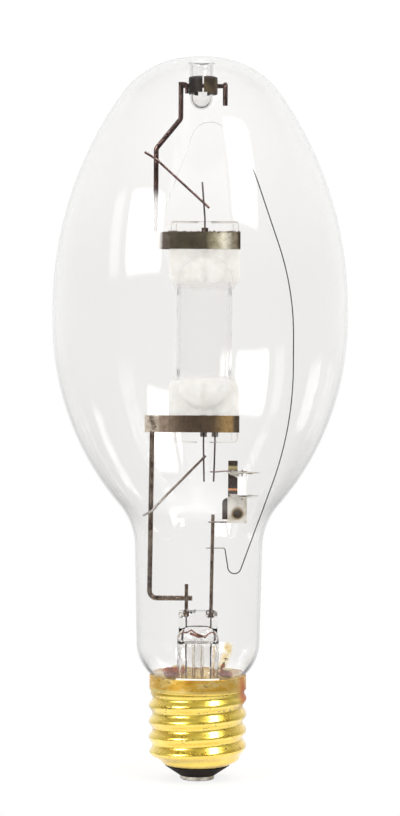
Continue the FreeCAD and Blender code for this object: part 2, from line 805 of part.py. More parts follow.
def frame_wires():
    lower = [
        ("lowerWireTopX", f"arcLevel - {strapOffset} + strapHeight / 2 - weldGap"),
        ("lowerWireCornerX", "lowerWireCornerLevel"),
        ("lowerWireEndX", "lowerWireCornerLevel"),
    ]
    bent_wire("lower_frame_wire", "frameWireRadius", frameY, lower, [(1, "lowerWireBend")])
    behind = "(clipRadius + frameWireRadius + weldGap)"
    right = "(clipCenterX + clipWireReach)"
    upper = [
        ("upperWireX", frameY, f"arcLevel + {strapOffset} - strapHeight / 2"),
        ("upperWireX", frameY, f"{crownTop} - upperWireShoulderDrop"),
        ("upperWireNeckX", frameY, f"{crownTop} - upperWireNeckDrop"),
        ("upperWireNeckX", frameY, clipWireLevel),
        ("upperWireNeckX", behind, clipWireLevel),
        (right, behind, clipWireLevel),
        (right, "0", clipWireLevel),
        (right, "0", f"{clipWireLevel} - clipTailLength"),
    ]
    bends = ["upperWireBend", "upperWireBend"] + ["frameWireRadius * 2"] * 4
    formed_wire("upper_frame_wire", "frameWireRadius", upper, bends)


def dimple_clip():
    # Two strips hug the dimple from a seam at the front to the wire behind it.
    for label, start in (("dimple_clip_left", "270 - clipSeamAngle - clipSweepAngle"),
                         ("dimple_clip_right", "270 + clipSeamAngle")):
        body = new_body(label, x="clipCenterX", z=f"{crownTop} - clipDrop")
        body.setExpression("Placement.Rotation.Angle", linked(start))
        sketch = new_sketch(body, "XZ_Plane")
        add_rectangle(sketch, "clipThickness", "clipHeight", x="clipRadius - clipThickness / 2")
        revolve(body, sketch, angle="clipSweepAngle")
    hook_x = "(clipCenterX - clipRadius - clipHookRadius - weldGap)"
    front = f"({frameY} - frameWireRadius - clipHookRadius - weldGap)"
    corners = [
        ("upperWireNeckX - frameWireRadius", front, clipWireLevel),
        (hook_x, front, clipWireLevel),
        (hook_x, front, f"{clipWireLevel} - clipHookLength"),
    ]
    formed_wire("clip_hook", "clipHookRadius", corners, ["clipHookRadius * 1.6"])


def arc_tube_form(body, grow):
    # The chamber is a capsule; the presses are flat blades with tapered shoulders.
    capsule = new_sketch(body, "XZ_Plane")
    radius = f"(chamberRadius + ({grow}))"
    add_capsule_half(capsule, radius)
    revolve(body, capsule)
    document.recompute()
    blade = new_sketch(body, "XZ_Plane")
    half = f"(sealWidth / 2 + ({grow}))"
    corners = [
        (f"0 - {half}", f"0 - arcHalfLength"),
        (half, "0 - arcHalfLength"),
        (half, f"0 - {sealShoulder}"),
        (radius, f"0 - {sealTaperEnd}"),
        (f"0 - {radius}", f"0 - {sealTaperEnd}"),
        (f"0 - {half}", f"0 - {sealShoulder}"),
    ]
    rounds = [(0, "sealCorner"), (1, "sealCorner"), (2, "sealCorner * 4"), (5, "sealCorner * 4")]
    add_outline(blade, corners, rounds)
    pad = extrude(body, blade, f"sealThickness + ({grow}) * 2", symmetric=True)
    document.recompute()
    mirrored = body.newObject("PartDesign::Mirrored", f"{body.Label}_mirrored")
    mirrored.Originals = [pad]
    mirrored.MirrorPlane = (origin_feature(body, "XY_Plane"), [""])
    body.Tip = mirrored
    document.recompute()


def add_capsule_half(sketch, radius):
    # A straight side between two quarter rounds, closed along the axis.
    size = value(radius)
    half = value(chamberEnd)
    vector = FreeCAD.Vector
    normal = vector(0, 0, 1)
    lines = [
        Part.LineSegment(vector(size, -half, 0), vector(size, half, 0)),
        Part.LineSegment(vector(0, half + size, 0), vector(0, -half - size, 0)),
    ]
    side, axis = (sketch.addGeometry(line, False) for line in lines)
    top_circle = Part.Circle(vector(0, half, 0), normal, size)
    top = sketch.addGeometry(Part.ArcOfCircle(top_circle, 0, math.pi / 2), False)
    bottom_circle = Part.Circle(vector(0, -half, 0), normal, size)
    bottom = sketch.addGeometry(Part.ArcOfCircle(bottom_circle, -math.pi / 2, 0), False)
    joints = [
        ("Tangent", side, 2, top, 1),
        ("Coincident", top, 2, axis, 1),
        ("Coincident", axis, 2, bottom, 1),
        ("Tangent", bottom, 2, side, 1),
        ("Vertical", side),
        ("Vertical", axis),
    ]
    for joint in joints:
        sketch.addConstraint(Sketcher.Constraint(*joint))
    pin(sketch, top, 3, "0", chamberEnd)
    pin(sketch, bottom, 3, "0", f"0 - {chamberEnd}")
    constrain(sketch, "Radius", (top,), radius)


def foil_slot(body, x, low, high):
    sketch = new_sketch(body, "XY_Plane", f"(({low}) + ({high})) / 2")
    width = "foilWidth + slotClearance * 2"
    add_rectangle(sketch, width, "foilThickness + slotClearance * 2", x=x, y=foilY)
    extrude(body, sketch, f"({high}) - ({low}) + slotClearance * 2", "Pocket", symmetric=True)


def arc_tube():
    body = new_body("arc_tube", "arcX", frameY, "arcLevel")
    arc_tube_form(body, "0")
    chamber = new_sketch(body, "XZ_Plane")
    add_capsule_half(chamber, "chamberRadius - chamberWall")
    revolve(body, chamber, "Groove")
    document.recompute()
    shank = "electrodeRadius + slotClearance"
    lead = "sealLeadRadius + slotClearance"
    lap_inner = f"{foilInner} + foilLap + slotClearance"
    lap_outer = f"{foilOuter} - foilLap - slotClearance"
    foil_slot(body, "0", foilInner, foilOuter)
    drill(body, shank, "0", "0", chamberEnd, lap_inner)
    drill(body, lead, "0", sealLeadY, lap_outer, "arcHalfLength")
    foil_slot(body, "0", f"0 - {foilOuter}", f"0 - {foilInner}")
    drill(body, shank, "0", "0", f"0 - ({lap_inner})", f"0 - {chamberEnd}")
    drill(body, lead, "0", sealLeadY, "0 - arcHalfLength", f"0 - ({lap_outer})")
    foil_slot(body, "probeOffset", f"0 - {foilOuter}", f"0 - {foilInner}")
    drill(body, "probeRadius + slotClearance", "probeOffset", probeY, f"0 - ({lap_inner})", f"0 - {probeTip}")
    drill(body, lead, "probeOffset", sealLeadY, "0 - arcHalfLength", f"0 - ({lap_outer})")


def helper_body(label):
    # A body that other pieces are cut from; it is no piece of its own.
    body = new_body(label, "arcX", frameY, "arcLevel")
    nodes.remove(body)
    return body


def heat_coatings():
    # White reflecting coats on the outside of both chamber ends.
    skin = helper_body("coat_skin")
    arc_tube_form(skin, "coatGap + coatThickness")
    core = helper_body("coat_core")
    arc_tube_form(core, "coatGap")
    for label, low in (("upper_heat_coating", coatInnerEnd),
                       ("lower_heat_coating", f"0 - {coatOuterEnd}")):
        band = document.addObject("Part::Box", f"{label}_band")
        side = "(sealWidth * 2)"
        band.setExpression("Length", linked(side))
        band.setExpression("Width", linked(side))
        band.setExpression("Height", linked(f"{coatOuterEnd} - {coatInnerEnd}"))
        band.setExpression("Placement.Base.x", linked(f"arcX - {side} / 2"))
        band.setExpression("Placement.Base.y", linked(f"{frameY} - {side} / 2"))
        band.setExpression("Placement.Base.z", linked(f"arcLevel + ({low})"))
        zone = document.addObject("Part::Common", f"{label}_zone")
        zone.Base = skin
        zone.Tool = band
        coat = document.addObject("Part::Cut", label)
        coat.Base = zone
        coat.Tool = core
        nodes.append(coat)


def seal_foils():
    places = [
        ("upper_main_foil", "arcX", f"arcLevel + {foilInner}"),
        ("lower_main_foil", "arcX", f"arcLevel - {foilOuter}"),
        ("probe_foil", "arcX + probeOffset", f"arcLevel - {foilOuter}"),
    ]
    for label, x, low in places:
        foil = document.addObject("Part::Box", label)
        foil.setExpression("Length", linked("foilWidth"))
        foil.setExpression("Width", linked("foilThickness"))
        foil.setExpression("Height", linked("foilLength"))
        foil.setExpression("Placement.Base.x", linked(f"{x} - foilWidth / 2"))
        foil.setExpression("Placement.Base.y", linked(f"{frameY} + {foilY} - foilThickness / 2"))
        foil.setExpression("Placement.Base.z", linked(low))
        nodes.append(foil)


def electrodes():
    # Each electrode is a rod with a coil wound near its tip.
    for label, side in (("upper_electrode", "1"), ("lower_electrode", "0 - 1")):
        tip = f"(({side}) * {electrodeTip})"
        foot = f"(({side}) * ({foilInner} + foilLap))"
        body = new_body(label, "arcX", frameY, "arcLevel")
        sketch = new_sketch(body, "XY_Plane", f"({tip} + {foot}) / 2")
        add_circle(sketch, "electrodeRadius")
        extrude(body, sketch, f"{foilInner} + foilLap - {electrodeTip}", symmetric=True)
        coil_height = "(coilPitch * coilTurns)"
        low = f"({tip} + ({side}) * (coilSetback + {coil_height} / 2) - {coil_height} / 2)"
        coil = new_body(label + "_coil", "arcX", frameY, f"arcLevel + {low}")
        section = new_sketch(coil, "XZ_Plane")
        add_circle(section, "coilWire", "electrodeRadius + coilWire + weldGap")
        helix = coil.newObject("PartDesign::AdditiveHelix", f"{label}_helix")
        helix.Profile = section
        helix.ReferenceAxis = (origin_feature(coil, "Z_Axis"), [""])
        helix.Mode = "pitch-turns-angle"
        helix.setExpression("Pitch", linked("coilPitch"))
        helix.setExpression("Turns", linked("coilTurns"))


def starting_probe():
    foot = f"arcLevel - {foilInner} - foilLap"
    y = f"{frameY} + {probeY}"
    rod("starting_probe", "probeRadius", "arcX + probeOffset", y, foot, f"arcLevel - {probeTip}")


def mercury_bead():
    # The bead lies against the bottom of the chamber, beside the electrode.
    bead = document.addObject("Part::Sphere", "mercury_bead")
    reach = "(chamberRadius - chamberWall - beadRadius - weldGap)"
    bead.setExpression("Radius", linked("beadRadius"))
    bead.setExpression("Placement.Base.x", linked("arcX + beadX"))
    bead.setExpression("Placement.Base.y", linked(frameY))
    level = f"arcLevel - {chamberEnd} - sqrt({reach} ^ 2 - beadX ^ 2)"
    bead.setExpression("Placement.Base.z", linked(level))
    nodes.append(bead)


def seal_leads():
    y = f"{frameY} + {sealLeadY}"
    foil_end = f"({foilOuter} - foilLap)"
    bend = [(1, "leadBend")]
    upper = [
        ("arcX", f"arcLevel + {foil_end}"),
        ("arcX", f"{arcTop} + sealLeadRadius * 4"),
        ("upperLeadTopX", f"{arcTop} + upperLeadLength"),
    ]
    bent_wire("upper_lead", "sealLeadRadius", y, upper, bend)
    below = f"{arcBottom} - sealLeadRadius * 4"
    for label, x, foot_x in (("main_lead", "arcX", "mainLeadFootX"),
                             ("probe_lead", "arcX + probeOffset", "probeLeadFootX")):
        corners = [(x, f"arcLevel - {foil_end}"), (x, below), (foot_x, f"{arcBottom} - lowerLeadLength")]
        bent_wire(label, "sealLeadRadius", y, corners, bend)


def straps():
    # Each strap wraps the press from one edge and closes on the frame wire at its lug.
    inner = "(sealThickness / 2 + strapGap)"
    outer = f"({inner} + strapThickness)"
    wire = "(frameWireRadius + weldGap)"
    lug = f"({wire} + strapThickness)"
    edge = "(sealWidth / 2 + strapGap)"
    far = f"({edge} + strapThickness)"
    end = "(0 - strapLugEnd)"
    knee = "(0 - strapLugStart)"
    front = [
        (end, f"0 - {lug}"),
        (knee, f"0 - {lug}"),
        (f"0 - {edge}", f"0 - {outer}"),
        (far, f"0 - {outer}"),
    ]
    back = [(far, outer), (f"0 - {edge}", outer), (knee, lug), (end, lug)]
    lining_back = [(end, wire), (knee, wire), (f"0 - {edge}", inner), (edge, inner)]
    lining_front = [
        (edge, f"0 - {inner}"),
        (f"0 - {edge}", f"0 - {inner}"),
        (knee, f"0 - {wire}"),
        (end, f"0 - {wire}"),
    ]
    outer_round = "strapCorner + strapThickness"
    rounds = [(3, outer_round), (4, outer_round), (11, "strapCorner"), (12, "strapCorner")]
    for label, level in (("upper_strap", f"arcLevel + {strapOffset}"),
                         ("lower_strap", f"arcLevel - {strapOffset}")):
        body = new_body(label, "arcX", frameY, level)
        sketch = new_sketch(body, "XY_Plane")
        add_outline(sketch, front + back + lining_back + lining_front, rounds)
        extrude(body, sketch, "strapHeight", symmetric=True)


def jumpers():
    lower = [
        ("lowerJumperTailX", f"{arcBottom} - lowerJumperTailDrop"),
        ("lowerWireTopX", f"{arcBottom} - lowerJumperCrossDrop"),
        ("lowerJumperTipX", f"{arcBottom} - lowerJumperTipDrop"),
    ]
    bent_wire("lower_jumper", "jumperRadius", jumperY, lower, [(1, "jumperBend")])
    upper = [
        ("upperJumperTailX", f"{arcTop} + upperJumperTailRise"),
        ("upperWireX", f"{arcTop} + upperJumperCrossRise"),
        ("upperJumperTipX", f"{arcTop} + upperJumperTipRise"),
    ]
    bent_wire("upper_jumper", "jumperRadius", jumperY, upper, [(1, "jumperBend")])


def plate_slab(body, corners, y, rounds=()):
    # A flat piece in a plane across the lamp.
    sketch = new_sketch(body, "XZ_Plane", f"0 - ({y})")
    add_outline(sketch, corners, rounds)
    extrude(body, sketch, "plateThickness", symmetric=True)
    document.recompute()


def switch_plate():
    body = new_body("switch_plate")
    corners = [
        ("plateLeft", "plateBottom"),
        ("plateRight", "plateBottom"),
        ("plateRight", plateTop),
        ("plateLeft", plateTop),
    ]
    plate_slab(body, corners, plateY)
    flange = new_sketch(body, "XY_Plane", f"{plateTop} - plateThickness")
    front = f"({resistorY} - resistorRadius * 0.8)"
    corners = [
        ("flangeLeft", plateY),
        ("flangeLeft", front),
        ("plateRight", front),
        ("flangeTip", resistorY),
        ("plateRight", plateY),
    ]
    add_outline(flange, corners)
    extrude(body, flange, "plateThickness")
    document.recompute()
    hole = "resistorLeadRadius + slotClearance"
    low = f"{plateTop} - plateThickness * 2"
    drill(body, hole, "resistorX", resistorY, low, f"{plateTop} + plateThickness")
    rivet_hole = new_sketch(body, "XZ_Plane", f"0 - ({plateY})")
    add_circle(rivet_hole, "rivetShankRadius + slotClearance", "rivetX", rivetLevel)
    extrude(body, rivet_hole, "plateThickness * 2", "Pocket", symmetric=True)


def bimetal_strip():
    # The foot is riveted behind the plate and the arm bends from it when hot.
    foot = new_body("strip_foot")
    sketch = new_sketch(foot, "XZ_Plane", f"0 - {stripY}")
    corners = [
        ("stripFootLeft", stripFootBottom),
        ("stripFootRight", stripFootBottom),
        ("stripFootRight", stripShoulder),
        ("stripFootLeft", stripShoulder),
    ]
    add_outline(sketch, corners, [(3, "stripShoulderArc")])
    extrude(foot, sketch, "stripThickness", symmetric=True)
    document.recompute()
    hole = new_sketch(foot, "XZ_Plane", f"0 - {stripY}")
    add_circle(hole, "rivetShankRadius + slotClearance", "rivetX", rivetLevel)
    extrude(foot, hole, "stripThickness * 2", "Pocket", symmetric=True)
    arm = new_body("bimetal_arm")
    sketch = new_sketch(arm, "XZ_Plane", f"0 - {stripY}")
    low = f"({stripShoulder} + hingeGap)"
    corners = [
        ("stripLeft", low),
        ("stripRight", low),
        ("stripRight", stripTop),
        ("stripLeft", stripTop),
    ]
    add_outline(sketch, corners)
    extrude(arm, sketch, "stripThickness", symmetric=True)


def switch_rivet():
    # Turned about its own axis, which runs front to back through plate and foot.
    body = new_body("switch_rivet", "rivetX", plateY, rivetLevel)
    body.Placement.Rotation = FreeCAD.Rotation(FreeCAD.Vector(1, 0, 0), 90)
    head = "(plateThickness / 2 + weldGap)"
    tail = f"({plateY} - {stripY} - stripThickness / 2 - weldGap)"
    sketch = new_sketch(body, "XZ_Plane")
    corners = [
        ("0", f"{tail} - rivetHeadHeight"),
        ("rivetShankRadius * 1.5", f"{tail} - rivetHeadHeight"),
        ("rivetShankRadius * 1.5", tail),
        ("rivetShankRadius", tail),
        ("rivetShankRadius", head),
        ("rivetHeadRadius", head),
        ("rivetHeadRadius", f"{head} + rivetHeadHeight"),
        ("0", f"{head} + rivetHeadHeight"),
    ]
    add_outline(sketch, corners, [(6, "rivetHeadHeight * 0.6")])
    revolve(body, sketch)


def starting_resistor():
    rod("resistor_body", "resistorRadius", "resistorX", resistorY, resistorBottom, resistorTop)
    below = f"{plateTop} - plateThickness - resistorLeadReach"
    above = f"{terminalLevel} + plateThickness + resistorLeadReach"
    for label, low, high in (("resistor_lower_lead", below, f"{resistorBottom} - weldGap"),
                             ("resistor_upper_lead", f"{resistorTop} + weldGap", above)):
        rod(label, "resistorLeadRadius", "resistorX", resistorY, low, high)


def upper_terminal():
    # A tapered plate over the resistor, with a gusset that faces the bimetal arm.
    body = new_body("upper_terminal")
    sketch = new_sketch(body, "XY_Plane", terminalLevel)
    front = f"({gussetY} - terminalDepth)"
    corners = [
        ("terminalLeft", f"{gussetY} + plateThickness / 2"),
        ("terminalLeft", f"{gussetY} - plateThickness"),
        ("terminalShoulderX", front),
        ("terminalRight", resistorY),
        ("terminalShoulderX", f"{gussetY} + plateThickness / 2"),
    ]
    add_outline(sketch, corners)
    extrude(body, sketch, "plateThickness")
    document.recompute()
    gusset = [
        ("terminalLeft", f"{terminalLevel} + plateThickness / 2"),
        ("terminalLeft + gussetWidth", f"{terminalLevel} - gussetDrop"),
        ("terminalLeft + gussetWidth", f"{terminalLevel} + plateThickness / 2"),
    ]
    plate_slab(body, gusset, gussetY)
    hole = "resistorLeadRadius + slotClearance"
    high = f"{terminalLevel} + plateThickness * 2"
    drill(body, hole, "resistorX", resistorY, f"{terminalLevel} - plateThickness", high)


def link_wires():
    level = "plateBottom + plateLinkHeight"
    plate_link = [("plateLinkStartX", level), ("plateLinkEndX", level)]
    bent_wire("plate_link", "linkRadius", linkY, plate_link)
    behind = f"({frameY} + {sealLeadY} - sealLeadRadius - linkRadius - weldGap)"
    front = f"({gussetY} - plateThickness / 2 - linkRadius - weldGap)"
    above = f"({terminalLevel} + plateThickness + linkRadius + weldGap)"
    probe_link = [
        ("probeLinkStartX", behind, probeLinkLevel),
        ("probeLinkTurnX", behind, probeLinkLevel),
        ("terminalLeft", front, above),
        ("probeLinkEndX", front, above),
    ]
    formed_wire("probe_link", "linkRadius", probe_link, ["linkBend", "linkBend"])


def field_wire():
    y = "(rodRadius + fieldRadius + weldGap)"
    bow = "bellyRadius - fieldBowInset"
    touch = f"sqrt((frameWireRadius + fieldRadius + weldGap) ^ 2 - ({frameY} - {y}) ^ 2)"
    corners = [
        ("fieldStartX", "fieldStartLevel"),
        ("fieldLegX", "fieldStartLevel"),
        ("fieldLoopX", "fieldLoopLevel"),
        (bow, "fieldBowLow"),
        (bow, "fieldBowHigh"),
        (f"{bow} - fieldShoulderInset", f"{crownTop} - fieldShoulderDrop"),
        ("fieldPeakX", f"{crownTop} - fieldPeakDrop"),
        (f"upperWireX + {touch}", "fieldEndLevel"),
    ]
    rounds = [
        (1, "fieldRadius * 4"),
        (2, "fieldLoopBend"),
        (3, "fieldBowLowBend"),
        (4, "fieldBowHighBend"),
        (5, "fieldShoulderBend"),
        (6, "fieldPeakBend"),
    ]
    bent_wire("field_wire", "fieldRadius", y, corners, rounds)


def build():
    fill_sheet()
    base_shell()
    base_insulator()
    center_contact()
    basing_cement()
    outer_envelope()
    glass_stem()
    stem_rods()
    lead_in_wires()
    frame_wires()
    dimple_clip()
    arc_tube()
    heat_coatings()
    seal_foils()
    electrodes()
    starting_probe()
    mercury_bead()
    seal_leads()
    straps()
    jumpers()
    switch_plate()
    bimetal_strip()
    switch_rivet()
    starting_resistor()
    upper_terminal()
    link_wires()
    field_wire()
    document.recompute()


def check():
    for item in document.Objects:
        faults = [state for state in item.State if state in ("Invalid", "Error")]
        if faults:
            raise RuntimeError(f"{item.Label} failed: {faults}")
    for node in nodes:
        if node.Shape.isNull() or not node.Shape.isValid() or node.Shape.Volume <= 0:
            raise RuntimeError(f"{node.Label} has no valid solid")


def export():
    os.makedirs("parts", exist_ok=True)
    for node in nodes:
        node.Shape.exportStep(f"parts/{node.Label}.step")
        box = node.Shape.BoundBox
        print(f"{node.Label}: {node.Shape.Volume:.2f} mm3, {len(node.Shape.Solids)} solid, "
              f"z {box.ZMin:.2f} to {box.ZMax:.2f}, x {box.XMin:.2f} to {box.XMax:.2f}")


build()
check()
export()
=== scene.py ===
import math
import random

import bmesh
import bpy
from mathutils import Matrix, Vector


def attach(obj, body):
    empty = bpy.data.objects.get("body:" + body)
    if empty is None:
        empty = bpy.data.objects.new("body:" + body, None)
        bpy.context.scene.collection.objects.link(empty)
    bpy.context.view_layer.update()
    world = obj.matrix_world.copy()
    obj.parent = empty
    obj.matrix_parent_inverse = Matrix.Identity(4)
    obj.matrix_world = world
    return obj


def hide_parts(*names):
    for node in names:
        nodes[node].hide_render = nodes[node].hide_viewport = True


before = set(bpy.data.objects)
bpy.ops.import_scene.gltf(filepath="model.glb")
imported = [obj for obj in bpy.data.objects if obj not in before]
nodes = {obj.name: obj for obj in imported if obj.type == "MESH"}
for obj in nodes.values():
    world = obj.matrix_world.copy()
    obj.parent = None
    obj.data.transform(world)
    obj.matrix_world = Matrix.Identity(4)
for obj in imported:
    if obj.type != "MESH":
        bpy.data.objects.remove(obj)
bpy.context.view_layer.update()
print("frame loaded:", len(nodes), "nodes")

# One millimetre in scene units; lengths and levels in the dictionaries below are in millimetres
mm = 0.001


# Node helpers

def addNode(tree, kind, **settings):
    node = tree.nodes.new(kind)
    for key, setting in settings.items():
        setattr(node, key, setting)
    return node


def feed(socket, source):
    # Links a node's output to the socket, or gives the socket a value of its own.
    if isinstance(source, bpy.types.NodeSocket):
        socket.id_data.links.new(source, socket)
    elif socket.type == "RGBA":
        socket.default_value = (*source, 1)
    else:
        socket.default_value = source


def setInputs(node, **sources):
    for key, source in sources.items():
        feed(node.inputs[key.replace("_", " ")], source)
    return node


def nodeAfter(kind, *sources, **settings):
    # A node fed with the sources in order, in the tree of the first one that is a socket.
    tree = next(source.id_data for source in sources if isinstance(source, bpy.types.NodeSocket))
    node = addNode(tree, kind, **settings)
    for socket, source in zip(node.inputs, sources):
        feed(socket, source)
    return node


def mathNode(operation, *operands):
    return nodeAfter("ShaderNodeMath", *operands, operation=operation).outputs[0]


def product(result, *factors):
    for factor in factors:
        result = mathNode("MULTIPLY", result, factor)
    return result


def separated(vector):
    return nodeAfter("ShaderNodeSeparateXYZ", vector).outputs


def combined(*parts):
    return nodeAfter("ShaderNodeCombineXYZ", *parts).outputs[0]


def objectCoordinates(tree):
    return addNode(tree, "ShaderNodeTexCoord").outputs["Object"]


def axes(tree):
    # The X, Y and Z of the point in metres.
    return separated(objectCoordinates(tree))


def noise(tree, scale, detail=3.0, roughness=0.5, stretch=(1, 1, 1)):
    mapping = addNode(tree, "ShaderNodeMapping")
    setInputs(mapping, Scale=stretch, Vector=objectCoordinates(tree))
    texture = addNode(tree, "ShaderNodeTexNoise")
    setInputs(texture, Scale=scale, Detail=detail, Roughness=roughness, Vector=mapping.outputs[0])
    return texture.outputs["Fac"]


def ramp(factor, *stops):
    # Each stop is a place and a colour.
    node = nodeAfter("ShaderNodeValToRGB", factor)
    elements = node.color_ramp.elements
    while len(elements) < len(stops):
        elements.new(0.5)
    for element, (place, color) in zip(elements, stops):
        element.position = place
        element.color = (*color, 1)
    return node.outputs[0]


def span(factor, low, high, toLow=0.0, toHigh=1.0, smooth=True):
    # Maps low and high to toLow and toHigh, and stays there beyond them.
    node = nodeAfter("ShaderNodeMapRange", factor, low, high, toLow, toHigh,
                     interpolation_type="SMOOTHSTEP" if smooth else "LINEAR")
    return node.outputs[0]


def band(factor, edges):
    # A smooth step from 0 to 1 between two places in millimetres.
    return span(factor, edges[0] * mm, edges[1] * mm)


def mixColor(factor, first, second, blend="MIX"):
    # The first colour or the factor is a socket; the node takes its colours at inputs 6 and 7.
    tree = (first if isinstance(first, bpy.types.NodeSocket) else factor).id_data
    node = addNode(tree, "ShaderNodeMix", data_type="RGBA", blend_type=blend)
    for index, source in ((0, factor), (6, first), (7, second)):
        feed(node.inputs[index], source)
    return node.outputs[2]


def mixShader(factor, first, second):
    return nodeAfter("ShaderNodeMixShader", factor, first.outputs[0], second.outputs[0])


# Material helpers

def newMaterial(name):
    material = bpy.data.materials.new(name)
    material.use_nodes = True
    material.node_tree.nodes.clear()
    return material, material.node_tree


def finishMaterial(material, shader):
    nodeAfter("ShaderNodeOutputMaterial", shader.outputs[0])
    return material


def principled(tree, **sources):
    return setInputs(addNode(tree, "ShaderNodeBsdfPrincipled"), **sources)


def addBump(shader, height, strength, depth):
    # Depth is in millimetres.
    bump = addNode(shader.id_data, "ShaderNodeBump")
    setInputs(bump, Strength=strength, Distance=depth * mm, Height=height)
    setInputs(shader, Normal=bump.outputs[0])


def clearGlass(name, tint, ior, lampTint=(1, 1, 1), waviness=0.0, waveScale=60.0):
    # Clear glass that lets lamp light straight through to what it encloses.
    material, tree = newMaterial(name)
    glass = principled(tree, Base_Color=tint, Roughness=0.0, IOR=ior, Transmission_Weight=1.0)
    if waviness:
        addBump(glass, noise(tree, waveScale, 1.5), waviness, 0.5)
    seeThrough = setInputs(addNode(tree, "ShaderNodeBsdfTransparent"), Color=lampTint)
    path = addNode(tree, "ShaderNodeLightPath")
    lampRay = mathNode("MAXIMUM", path.outputs["Is Shadow Ray"], path.outputs["Is Diffuse Ray"])
    return finishMaterial(material, mixShader(lampRay, glass, seeThrough))


def alongX(tree, stops):
    # A colour gradient along X, whose given stops hold painted highlights and shade, with faint random
    # clouding; each stop is a place in millimetres and a colour.
    low, high = stops[0][0], stops[-1][0]
    share = span(axes(tree)[0], low * mm, high * mm, smooth=False)
    gradient = ramp(share, *[((place - low) / (high - low), shade) for place, shade in stops])
    clouds = ramp(noise(tree, 520.0, 4.0, 0.7), (0.34, (0.6, 0.57, 0.52)), (0.58, (1.0, 1.0, 1.0)))
    return mixColor(1.0, clouds, gradient, "MULTIPLY")


def wornMetal(name, roughness, color=None, stain=None, gradient=None, grain=900.0, stainScale=120.0,
              stretch=(1, 1, 1), metallic=0.4, tone=None):
    # Oxidised metal with uneven roughness and a fine drawn grain. It has a colour and a stain, or the stops
    # of a gradient along X with painted highlights and shade; tone may change its colour, also by a painted
    # reflection.
    material, tree = newMaterial(name)
    if gradient:
        colored = alongX(tree, gradient)
    else:
        share = span(noise(tree, stainScale, 4.0, 0.6), 0.42, 0.66)
        colored = mixColor(share, color, stain)
    if tone:
        colored = tone(tree, colored)
    fine = noise(tree, grain, 2.0, 0.5, stretch)
    uneven = span(fine, 0.3, 0.7, roughness * 0.75, roughness * 1.3)
    metal = principled(tree, Metallic=metallic, Base_Color=colored, Roughness=uneven)
    addBump(metal, fine, 0.25, 0.04)
    return finishMaterial(material, metal)


def mattPaint(name, low, high, scale, roughness, bump=0.3, specular=0.5, depth=0.3):
    # A cloudy colour between low and high.
    material, tree = newMaterial(name)
    cloud = noise(tree, scale, 5.0, 0.65)
    colored = ramp(cloud, (0.32, low), (0.68, high))
    shader = principled(tree, Base_Color=colored, Roughness=roughness, Specular_IOR_Level=specular)
    addBump(shader, cloud, bump, depth)
    return finishMaterial(material, shader)


def heatCoat(name, low, high, edges):
    # A white coat that some light comes through; it thins out between the two levels of its edges.
    material, tree = newMaterial(name)
    tone = ramp(noise(tree, 130.0, 4.0, 0.6), (0.3, low), (0.7, high))
    matt = setInputs(addNode(tree, "ShaderNodeBsdfDiffuse"), Color=tone)
    glow = setInputs(addNode(tree, "ShaderNodeBsdfTranslucent"), Color=tone)
    clear = addNode(tree, "ShaderNodeBsdfTransparent")
    layered = mixShader(0.5, matt, glow)
    thickness = span(noise(tree, 160.0, 3.0), 0.3, 0.7, 0.5, 0.68)
    thickness = product(thickness, band(axes(tree)[2], edges))
    return finishMaterial(material, mixShader(thickness, clear, layered))


def paint(nodeName, material):
    for slot in nodes[nodeName].material_slots:
        slot.material = material


# Shape helpers

def nodeBox(name):
    # The lowest and highest corner of a CAD node in millimetres.
    corners = [Vector(corner) / mm for corner in nodes[name].bound_box]
    return [[pick(corner[axis] for corner in corners) for axis in range(3)] for pick in (min, max)]


def arcPoints(center, radius, start, end, steps):
    # Points on an arc in the plane of radius and level; angles in radians.
    points = []
    for step in range(steps + 1):
        angle = start + (end - start) * step / steps
        points.append((center[0] + radius * math.cos(angle), center[1] + radius * math.sin(angle)))
    return points


def heading(start, end):
    return math.atan2(end[1] - start[1], end[0] - start[0])


def polar(radius, angle, level):
    return (radius * math.cos(angle), radius * math.sin(angle), level)


def newPoint(mesh, point):
    # The point is in millimetres.
    return mesh.verts.new([part * mm for part in point])


def ringPoints(mesh, radius, level, around):
    # A ring of points about Z; a radius of 0 gives the single point of a pole.
    if radius < 1e-6:
        return [newPoint(mesh, (0, 0, level))]
    return [newPoint(mesh, polar(radius, 2 * math.pi * step / around, level)) for step in range(around)]


def spun(outline, around):
    # The closed outline's points (radius, level) turned about Z.
    mesh = bmesh.new()
    rings = [ringPoints(mesh, radius, level, around) for radius, level in outline]
    for low, high in zip(rings, rings[1:] + rings[:1]):
        if len(low) == 1 and len(high) == 1:
            continue
        for step in range(around):
            following = (step + 1) % around
            if len(low) == 1:
                mesh.faces.new((low[0], high[following], high[step]))
            elif len(high) == 1:
                mesh.faces.new((low[step], low[following], high[0]))
            else:
                mesh.faces.new((low[step], low[following], high[following], high[step]))
    return mesh


def joinRows(mesh, rows, closed=False):
    # Faces between neighbouring rows of points; closed joins the two ends of the rows too.
    faces = []
    for low, high in zip(rows, rows[1:]):
        for index in range(len(low) if closed else len(low) - 1):
            following = (index + 1) % len(low)
            faces.append(mesh.faces.new((low[index], low[following], high[following], high[index])))
    return faces


def tube(mesh, points, radius, sides=10):
    # A round rod along the points, with flat ends.
    rings = []
    path = [Vector(point) * mm for point in points]
    for index, point in enumerate(path):
        ahead = path[min(index + 1, len(path) - 1)] - path[max(index - 1, 0)]
        ahead.normalize()
        reference = Vector((0, 1, 0)) if abs(ahead.y) < 0.9 else Vector((1, 0, 0))
        side = ahead.cross(reference).normalized()
        up = side.cross(ahead)
        ring = []
        for step in range(sides):
            angle = 2 * math.pi * step / sides
            outward = side * math.cos(angle) + up * math.sin(angle)
            ring.append(mesh.verts.new(point + outward * radius * mm))
        rings.append(ring)
    joinRows(mesh, rings, closed=True)
    mesh.faces.new(rings[0][::-1])
    mesh.faces.new(rings[-1])


